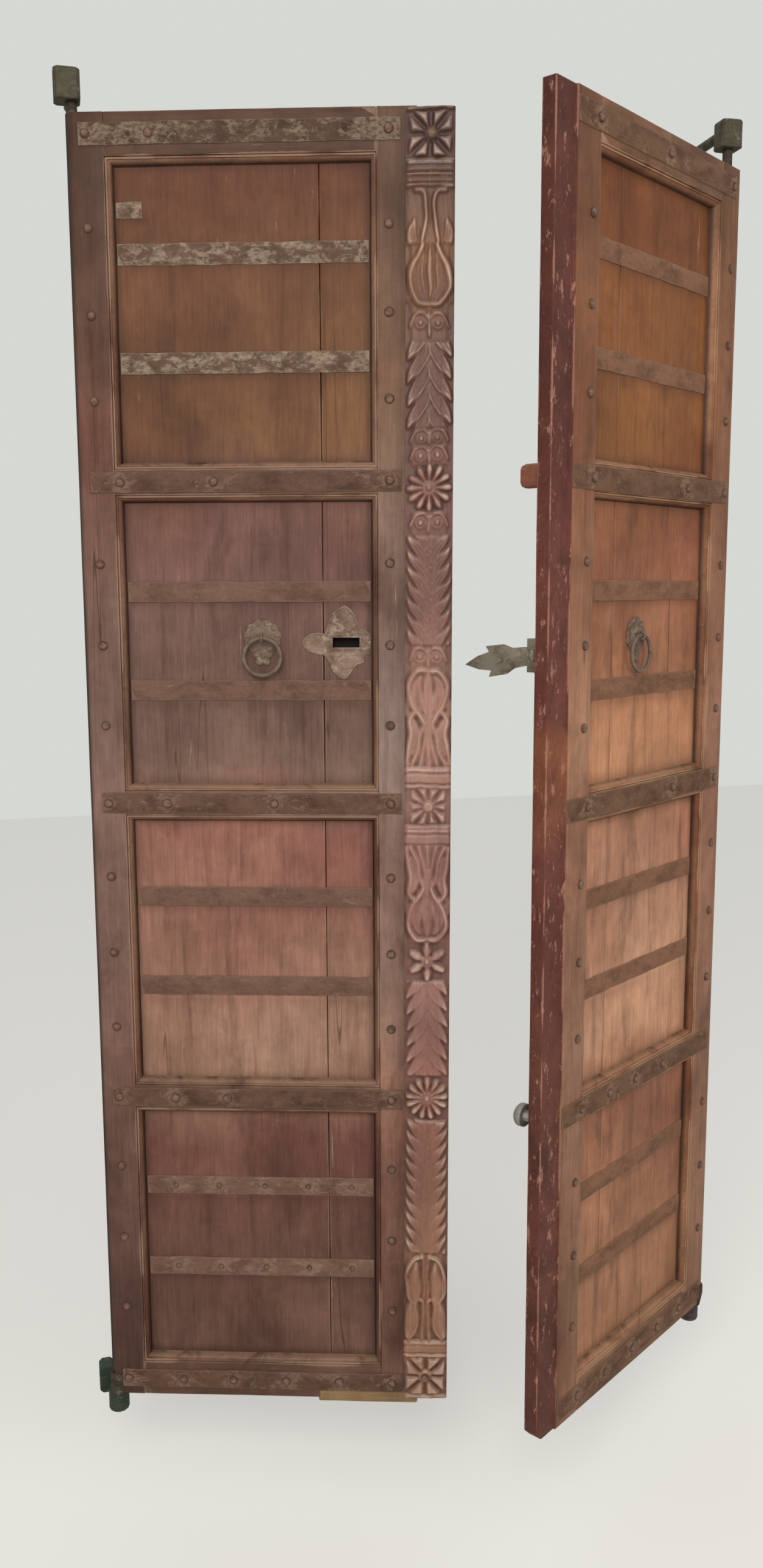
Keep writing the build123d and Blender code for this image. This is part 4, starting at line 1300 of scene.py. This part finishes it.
def tulip(x, z, low, high):
    """Two big curved petals closed by a base line, with a leaf in each."""
    at = placer(low, high)
    side = curve(at((2, 0.02), (16, 0.06), (28, 0.32), (26, 0.6), (16, 0.82), (9, 1.02)))
    return bank(both(ribbon, x, z, side, 13, 1.0, 0.3),
                both(leaf_form, x, z, at((8, 0.1), (17, 0.36), (15, 0.66), (8, 0.9)), 19, 0.95, vein=0.0),
                petal_form(x, z, at((0, 0.1), (0, 0.5), (0, 1.0)), 12, 0.6),
                both(leaf_form, x, z, at((31, 0.05), (33, 0.3), (31, 0.5)), 10, 0.6), ground(x, 0.2))


def vase(x, z, low, high):
    """A worn plain panel with a vase on it, and a leaf tip at each side of its foot."""
    at = placer(low, high)
    panel = RELIEF * (0.16 + 0.2 * np.cos(x / 22)) * soft(high - 3 - z, 2)
    side = curve(at((22, 0.9), (8, 0.84), (6, 0.45), (12, 0.02)))
    return bank(panel, both(ribbon, x, z, side, 10, 1.0, 0.2),
                both(leaf_form, x, z, at((22, -0.05), (27, 0.16), (22, 0.46)), 16),
                RELIEF * 0.8 * soft(5 - (high - z), 1.5))


# %% The ground of the post
# The bands from foot to head: motif, height in millimetres, and how many petals, bands or pairs it has, or
# whether it stands (1) or hangs (-1). The CAD post has the same bands at the same heights.
BANDS = ((block, 75, 8), (bar, 24, 1), (ovals, 150), (spray, 226, 10, 1), (rosette, 72, 13),
         (spray, 156, 6, -1), (rosette, 60, 6), (palmette, 152, -1), (bar, 28, 1), (block, 66, 10),
         (bar, 28, 1), (palmette, 150, 1), (scrolls, 32), (spray, 164, 7, 1), (scrolls, 34),
         (rosette, 66, 12), (scrolls, 26), (scrolls, 24), (spray, 126, 4, -1), (scrolls, 46),
         (tulip, 86), (vase, 80), (bar, 30, 2), (block, 73, 8))
# How far a band reaches into its neighbours, in millimetres.
OVERLAP = 3


def carving_height(x, z, low, high, half):
    """How high the carving stands at each point, all in millimetres, between two heights of the post."""
    bent_x = x + wander(z, 23, 0.7)
    bent_z = z + wander(z + 3 * x, 31, 0.5) + 0.03 * x * wander(z, 60, 0.6)
    height = np.zeros(len(x))
    scale = (high - low) / sum(band[1] for band in BANDS)
    level = low
    for motif, tall, *counts in BANDS:
        top = level + tall * scale
        here = (z >= level - OVERLAP) & (z <= top + OVERLAP)
        form = motif(bent_x[here], bent_z[here], level, top, *counts)
        form = form * soft(bent_z[here] - level + 2, 2.5) * soft(top + 2 - bent_z[here], 2.5)
        height[here] = np.maximum(height[here], form)
        level = top
    # The board is slightly domed, the gouge leaves small facets, and the long edges are worn down.
    height = 0.86 * height + 1.4 * (1 - (x / half) ** 2)
    height += 0.35 * wander(z + 7 * x, 5, 0.5) + 0.3
    return height * (0.55 + 0.45 * soft(half - np.abs(x), 4))


print("bands on the post:", len(BANDS))

# %% Carving the post
CELL_ACROSS, CELL_UP = 0.0013, 0.0013 * 1.1
# The grid is blurred as wear does. A ridge stands above what lies around it: a light blur less a wide one.
WEAR_TURNS = 2
NEAR_TURNS, AROUND_TURNS, RIDGE_HEIGHT = 3, 36, 2.6


def blur(values, turns):
    """Soften a field of heights, as wear does."""
    for turn in range(turns):
        padded = np.pad(values, 1, mode="edge")
        values = (padded[:-2, 1:-1] + padded[2:, 1:-1] + padded[1:-1, :-2] + padded[1:-1, 2:]
                  + 2 * padded[1:-1, 1:-1]) / 6
    return values


def carve_post():
    low, high = box_of("left_carved_post", left)
    corners = [left.back @ vertex.co for vertex in frame["nodes"]["left_carved_post"].data.vertices]
    foot = [p.x for p in corners if p.z < low.z + 0.001]
    head = [p.x for p in corners if p.z > high.z - 0.001]
    width = max(foot) - min(foot)
    columns, rows = int(width / CELL_ACROSS), int((high.z - low.z) / CELL_UP)
    deselect()
    bpy.ops.mesh.primitive_grid_add(x_subdivisions=columns, y_subdivisions=rows, size=1)
    piece = named("left_carved_post_wood")
    count = len(piece.data.vertices)
    spots = np.zeros(count * 3)
    piece.data.vertices.foreach_get("co", spots)
    spots = spots.reshape(-1, 3)
    across, up = spots[:, 0] + 0.5, spots[:, 1] + 0.5
    z = (low.z + up * (high.z - low.z)) * 1000
    x = (across - 0.5) * width * 1000
    height = carving_height(x, z, low.z * 1000, high.z * 1000, width * 500)
    grid = np.clip(blur(height.reshape(rows + 1, columns + 1), WEAR_TURNS), 0, RELIEF)
    ridge = np.clip((blur(grid, NEAR_TURNS) - blur(grid, AROUND_TURNS)) / RIDGE_HEIGHT, -1, 1)
    spots[:, 0] = min(foot) + up * (min(head) - min(foot)) + across * width
    spots[:, 1] = low.y + (RELIEF - grid.reshape(-1)) / 1000
    spots[:, 2] = z / 1000
    piece.data.vertices.foreach_set("co", spots.reshape(-1))
    store(piece, "relief", ridge.reshape(-1))
    store(piece, "hollow", (1 - grid / RELIEF).reshape(-1))
    # The border is drawn back to the face of the leaf, and closed behind.
    edit(piece, kind="EDGE")
    bpy.ops.mesh.region_to_loop()
    extrude_edges(0.001)
    leave_edit()
    for vertex in piece.data.vertices[count:]:
        vertex.co.y = 0.0
    bpy.ops.object.mode_set(mode="EDIT")
    bpy.ops.mesh.edge_face_add()
    face_outwards()
    leave_edit()
    print("carved post faces", len(piece.data.polygons))
    return piece


post = carve_post()
smooth(post, 60)

# %% [markdown]
# ### The finish of the carving
# Hands and brushes rub the high points of a carving pale, and the pale there is also a painted highlight.
# The hollows are painted dark, as dark paint, dust and painted shade. The relief attribute says how far each
# point stands above or below its surroundings, so it mixes the two. The hands didn't reach everywhere alike,
# so a noise makes the pale rubbing and highlight patchy, and what was rubbed is also smoother and shines
# more. Splits would cut across the leaves, so the noises are made alike at every depth.

# %% The carved finish
# Its tones are paler at mid-height and darker at the head: painted sheen and painted shade in the paint.
carved, build, shader, effect, place = painted(
    "carved_paint", left, UPRIGHT, (84, 56, 48), (184, 160, 142),
    (0.1, (140, 98, 74), (164, 122, 92)), (0.6, (132, 86, 76), (154, 108, 96)),
    (1.0, (146, 104, 94), (168, 128, 116)), (1.15, (152, 108, 94), (176, 132, 116)),
    (1.3, (122, 80, 70), (144, 100, 88)), (1.6, (104, 66, 56), (124, 84, 72)),
    (1.8, (108, 68, 44), (136, 92, 54)), (1.95, (78, 50, 42), (100, 70, 58)),
    streaks=0.3, chips=0.05, rubbed=0.0, depth=0.25)
build.feed(effect.inputs["Place"], build.vector("MULTIPLY", place, (1.0, 0.0, 1.0)))
relief = build.read("relief") + (build.noise(place, 60.0, 4.0) - 0.5) * 0.35
rubbed_and_highlight = 0.22 + build.ramp(build.noise(place, 14.0, 4.0), 0.4, 0.62) * 0.5
# Pale on the high points: rubbed paint and a painted highlight.
color = build.mix(build.ramp(relief, 0.0, 1.1) * rubbed_and_highlight, effect.outputs["Color"], srgb(206, 176, 160))
# Dark below the surroundings and deep in the hollows: dark paint, dust and painted shade.
color = build.mix(build.ramp(relief, 0.0, -0.9) * 0.85, color, srgb(56, 32, 28))
color = build.mix(build.ramp(build.read("hollow"), 0.55, 0.9) * 0.4, color, srgb(72, 44, 36))
polish = build.ramp(relief, -0.1, 0.5) * 0.2
build.feed(shader.inputs["Base Color"], color)
build.feed(shader.inputs["Roughness"], Value(build, effect.outputs["Roughness"]) - polish)
shader.inputs["Specular IOR Level"].default_value = 0.5
hang(post, left, carved, ("left_carved_post",))
print("nodes in the carved finish:", len(build.tree.nodes))

# %% [markdown]
# ## Rings, roses and the lock plate
# Each leaf has a ring pull that hangs from a scalloped rose with a small flower, and the left leaf has a
# lobed lock plate. They are thin worn metal. A plate's outline is a circle whose points are moved to the
# outline, which is then filled, extruded and bevelled; the ring is a torus, rippled as forged wire is.

# %% Metal finishes
ring_iron = {leaf: iron(leaf.name + "_ring_metal", leaf, (128, 110, 98), (92, 74, 64), (176, 162, 148), 0.2,
                        scale=2.0, metallic=0.25) for leaf in leaves}
rose_brass = {leaf: iron(leaf.name + "_rose_metal", leaf, (130, 110, 96), (92, 74, 62), (184, 168, 148),
                         flaking=0.2, scale=1.6, metallic=0.2) for leaf in leaves}
plate_brass = iron("lock_plate_metal", left, (148, 124, 108), (104, 82, 70), (196, 178, 160),
                   flaking=0.35, scale=1.5, metallic=0.2)
pivot_iron = {leaf: iron(leaf.name + "_pivot_metal", leaf, (70, 66, 56), (62, 48, 40), (150, 146, 128),
                         flaking=0.15, scale=1.4, metallic=0.2) for leaf in leaves}
socket_iron = iron("socket_metal", left, (84, 82, 66), (66, 56, 46), (150, 146, 124),
                   flaking=0.12, metallic=0.2)
cup_iron = {
    left: iron("left_cup_metal", left, (66, 78, 66), (46, 52, 46), (120, 132, 110),
               flaking=0.15, metallic=0.2),
    right: iron("right_cup_metal", right, (92, 78, 84), (52, 46, 46), (140, 126, 120), metallic=0.2),
}
hasp_iron = iron("hasp_metal", right, (150, 142, 128), (102, 84, 68), (190, 184, 170), 0.2, metallic=0.6)
knob_steel = iron("knob_metal", right, (172, 170, 166), (120, 110, 100), (208, 206, 200), -0.1, -0.3,
                  metallic=0.9, depth=0.15)
print("finishes in all:", len(bpy.data.materials))

# %% Plates cut to an outline, and domes
def cut_plate(name, outline, thickness, bevel=0.0005):
    """A plate with the given outline in x and z, its back at y = 0 and its face towards -y."""
    deselect()
    bpy.ops.mesh.primitive_circle_add(vertices=len(outline), radius=0.01, fill_type="NGON")
    piece = named(name)
    for vertex, (x, z) in zip(piece.data.vertices, outline):
        vertex.co = (x, 0, z)
    piece.data.update()
    edit(piece)
    bpy.ops.mesh.extrude_region_move(TRANSFORM_OT_translate={"value": (0, -thickness, 0)})
    face_outwards()
    leave_edit()
    round_arrises(piece, bevel, 40)
    return piece


def dome(name, radius, height, x, z, y=0.0, segments=12):
    """A low round boss whose foot is at y and whose top is towards -y."""
    deselect()
    bpy.ops.mesh.primitive_uv_sphere_add(segments=segments, ring_count=10, radius=radius)
    piece = named(name)
    edit(piece)
    bisect((0, TOUCHING, 0), (0, 1, 0), clear_outer=True, use_fill=True)
    bpy.ops.mesh.select_all(action="SELECT")
    bpy.ops.transform.resize(value=(1, height / radius, 1), center_override=(0, 0, 0))
    bpy.ops.transform.translate(value=(x, y, z))
    leave_edit()
    return piece


def torus(name, place, turn, major, minor, segments):
    deselect()
    bpy.ops.mesh.primitive_torus_add(major_radius=major, minor_radius=minor, major_segments=segments[0],
                                     minor_segments=segments[1], location=place, rotation=turn)
    return placed(name)


def round_outline(x, z, count, reach):
    """Points round a centre, each as far out as the given function says for its angle."""
    angles = [2 * math.pi * index / count for index in range(count)]
    return [(x + reach(angle) * math.sin(angle), z + reach(angle) * math.cos(angle)) for angle in angles]


# %% Rings and roses
QUARTER = math.radians(90)
SCALLOPS = 11
ROSE_RADIUS, BEADS_RADIUS, FLOWER_RADIUS = 0.029, 0.0225, 0.0155
# The eye is centred on the wire of the ring, with room for it to swing.
EYE_ROOM, EYE_WIRE = 0.0026, 0.0018


def scalloped(angle):
    return ROSE_RADIUS * (0.9 + 0.1 * abs(math.sin(angle * SCALLOPS / 2)))


def flower_edge(angle):
    return FLOWER_RADIUS * (0.62 + 0.38 * abs(math.cos(angle * 2.5)))


def ring_and_rose(leaf):
    low, high = box_of(leaf.name + "_ring", leaf)
    u, y, z = leaf.side * (low.x + high.x) / 2, (low.y + high.y) / 2, (low.z + high.z) / 2
    wire = (high.y - low.y) / 2
    radius = (high.z - low.z) / 2 - wire
    ring = torus(leaf.name + "_ring_iron", (u, y, z), (QUARTER, 0, 0), radius, wire * 0.98, (72, 14))
    ripple(ring, 0.012, 0.0005)
    smooth(ring, 60)
    hang(ring, leaf, ring_iron[leaf], (leaf.name + "_ring",), leaf.name + "_ring")

    seat = box_of(leaf.name + "_ring_rose", leaf)[1].y
    eye_z = z + radius
    pieces = [cut_plate("rose_plate", round_outline(u, eye_z, SCALLOPS * 8, scalloped), 0.0022)]
    for index in range(SCALLOPS):
        angle = 2 * math.pi * (index + 0.5) / SCALLOPS
        pieces.append(dome("rose_bead", 0.0045, 0.0015, u + BEADS_RADIUS * math.sin(angle),
                           eye_z + BEADS_RADIUS * math.cos(angle), -0.002))
    pieces.append(cut_plate("rose_flower", round_outline(u, z, 48, flower_edge), 0.0026, 0.0007))
    pieces.append(dome("flower_boss", 0.0045, 0.003, u, z, -0.0022))
    pieces.append(torus("rose_eye", (u, y - seat, eye_z), (0, QUARTER, 0), wire + EYE_ROOM, EYE_WIRE,
                        (28, 10)))
    rose = join(pieces, leaf.name + "_ring_rose_brass")
    rose.data.transform(Matrix.Translation((0, seat, 0)))
    smooth(rose, 40)
    hang(rose, leaf, rose_brass[leaf], (leaf.name + "_ring_rose",))


for leaf in leaves:
    ring_and_rose(leaf)

# %% [markdown]
# ### The lock plate
# The plate is sheet brass, cut to a spade with a lobe above and below its slot and a raised rim beaten up
# from behind. Its outline is noted in shares of its width and of half its height, so it keeps to the CAD
# plate. The rim is the front face inset twice, once forward and once back, and the slot has a lip round it.

# %% The lock plate
PLATE = (
    (0, 0), (.03, .12), (.12, .24), (.24, .27), (.33, .24), (.36, .36), (.40, .62), (.45, .80), (.55, .93),
    (.62, 1), (.70, .92), (.78, .72), (.82, .50), (.85, .38), (.92, .34), (1, .22), (1, -.28), (.97, -.34),
    (.90, -.36), (.90, -.55), (.83, -.58), (.78, -.62), (.72, -.78), (.66, -.95), (.62, -1), (.54, -.94),
    (.45, -.78), (.41, -.58), (.36, -.42), (.30, -.32), (.20, -.32), (.1, -.24), (.03, -.12))
low, high = box_of("left_lock_plate", left)
thick = high.y - low.y
# The sheet before its rim is beaten up, and how high the lip and the bosses stand, as shares of its depth.
SHEET, PROUD = 0.7, 0.9
LIP_WIDTH = 0.0035
THROUGH = (-0.02, 0.01)


def on_plate(across, up):
    """A place on the plate from its share of the width and of half the height."""
    return (low.x + across * (high.x - low.x), (low.z + high.z) / 2 + up * (high.z - low.z) / 2)


plate = cut_plate("lock_plate", [on_plate(*corner) for corner in PLATE], thick * SHEET, 0.0003)
edit(plate, "DESELECT")
leave_edit()
front = max(plate.data.polygons, key=lambda face: -face.center.y * 1000 + face.area)
front.select = True
bpy.ops.object.mode_set(mode="EDIT")
bpy.ops.mesh.inset(thickness=0.0022, depth=0.0003)
bpy.ops.mesh.inset(thickness=0.0010, depth=-0.0012)
leave_edit()
cut_slot(plate, *THROUGH)
lip = box("slot_lip", (SLOT_MIDDLE.x, -thick * PROUD / 2, SLOT_MIDDLE.z),
          (SLOT_SIZE.x + 2 * LIP_WIDTH, thick * PROUD, SLOT_SIZE.z + 2 * LIP_WIDTH))
cut_slot(lip, *THROUGH)
bosses = [dome("plate_boss", radius, thick * PROUD, *on_plate(*place), segments=14)
          for place, radius in (((0.557, 0.65), 0.0042), ((0.154, 0), 0.0022), ((0.58, -0.66), 0.0026))]
plate = join([plate, lip, *bosses], "left_lock_plate_brass")
plate.data.transform(Matrix.Translation((0, high.y, 0)))
smooth(plate, 40)
hang(plate, left, plate_brass, ("left_lock_plate",))
print("lock plate faces", len(plate.data.polygons))

# %% [markdown]
# ### Sockets, pivots and the small ironwork
# The sockets are rough forgings, and the CAD solids already have their shape. Each is dressed by a merged
# copy with rounded arrises. The sockets also get an even mesh, so that a slight ripple can make them catch
# the light as old iron does.

# %% Copies with softened arrises
WORLD = Leaf("world", 1)


def forged(node, body, material, width):
    piece = outline_copy(node + "_iron", node, WORLD, width)
    smooth(piece, 50)
    return settle(piece, body, material, (node,))


def forged_socket(node, material):
    piece = outline_copy(node + "_iron", node, WORLD, 0.0012)
    modify(piece, "REMESH", mode="VOXEL", voxel_size=max(0.0012, max(piece.dimensions) / 90))
    ripple(piece, 0.03, 0.0006)
    smooth(piece, 50)
    return settle(piece, "wall_sockets", material, (node,))


for leaf in leaves:
    forged_socket(leaf.name + "_upper_socket", socket_iron)
for leaf in leaves:
    forged_socket(leaf.name + "_lower_socket", cup_iron[leaf])
    for pivot in ("_upper_pivot", "_lower_pivot"):
        forged(leaf.name + pivot, leaf.body, pivot_iron[leaf], 0.0005)
forged("right_hasp", "hasp", hasp_iron, 0.0006)
forged("right_hasp_base", "right_leaf", hasp_iron, 0.0006)
forged("right_back_knob", "right_leaf", knob_steel, 0.001)

# %% [markdown]
# ## The room and the camera
# The door is shown over a plain pale floor in soft light from the left. The camera stands where the
# photograph was taken from, a little to the left of the door and below its middle, turned to the right.

# %% The floor
# How strongly the floor shines towards the camera alone, so that it is as pale as the background.
FLOOR_Z, FLOOR_GLOW = -0.215, 0.36
deselect()
bpy.ops.mesh.primitive_plane_add(size=14, location=(0, 0, FLOOR_Z))
floor = named("floor")
floor_paint = bpy.data.materials.new("floor_paint")
floor_paint.use_nodes = True
build = Nodes(floor_paint.node_tree)
shader = floor_paint.node_tree.nodes["Principled BSDF"]
seen = build.out("LightPath", "Is Camera Ray")
for label, value in (("Base Color", srgb(224, 224, 220)), ("Roughness", 0.9),
                     ("Emission Color", srgb(226, 228, 225)), ("Emission Strength", seen * FLOOR_GLOW)):
    build.feed(shader.inputs[label], value)
floor.data.materials.append(floor_paint)
print("floor at", FLOOR_Z)

# %% The light of the room
# The first colour and strength light the door. Where the background itself is seen, it is plain and pale.
ROOM_LIGHT, ROOM_SEEN = (1.0, 0.97, 0.93, 1), srgb(214, 216, 212)
ROOM_STRENGTH, SEEN_MORE = 0.43, 0.57
world = bpy.data.worlds.new("room")
world.use_nodes = True
bpy.context.scene.world = world
build = Nodes(world.node_tree)
background = world.node_tree.nodes["Background"]
rays = build.add("LightPath").outputs
seen = build.math("MAXIMUM", rays["Is Camera Ray"],
                  build.math("MAXIMUM", rays["Is Glossy Ray"], rays["Is Transmission Ray"]))
build.feed(background.inputs["Color"], build.mix(seen, ROOM_LIGHT, ROOM_SEEN))
build.feed(background.inputs["Strength"], ROOM_STRENGTH + seen * SEEN_MORE)


def lamp(name, place, target, size, power, color):
    """A square lamp at a place, turned towards a target."""
    light = bpy.data.lights.new(name, "AREA")
    light.size = size
    light.energy = power
    light.color = color
    lamp_object = bpy.data.objects.new(name, light)
    bpy.context.scene.collection.objects.link(lamp_object)
    lamp_object.location = place
    lamp_object.rotation_euler = (Vector(target) - Vector(place)).to_track_quat("-Z", "Y").to_euler()


lamp("window", (-1.5, -3.6, 3.0), (0, 0, 1.1), 2.0, 82, (1.0, 0.97, 0.92))
lamp("room_fill", (2.0, -3.6, 2.0), (0, 0, 1.0), 2.6, 40, (1.0, 0.95, 0.9))
print("lamps:", len(bpy.data.lights))

# %% The camera
# Its place and its turn in degrees: to the right, down, and rolled.
LENS, SENSOR = 29.48, 36
CAMERA_PLACE = (-0.5942, -2.0382, 1.3171)
TO_THE_RIGHT, DOWN, ROLLED = 14.499, 8.513, 0.23
camera_data = bpy.data.cameras.new("camera")
camera_data.lens = LENS
camera_data.sensor_width = SENSOR
camera = bpy.data.objects.new("camera", camera_data)
bpy.context.scene.collection.objects.link(camera)
camera.location = CAMERA_PLACE
turn = Matrix.Rotation(math.radians(-TO_THE_RIGHT), 3, "Z") @ Matrix.Rotation(math.radians(90 - DOWN), 3, "X")
camera.rotation_euler = (turn @ Matrix.Rotation(math.radians(-ROLLED), 3, "Z")).to_euler()
bpy.context.scene.camera = camera
bpy.context.scene.view_settings.view_transform = "Standard"
print("camera at", CAMERA_PLACE)
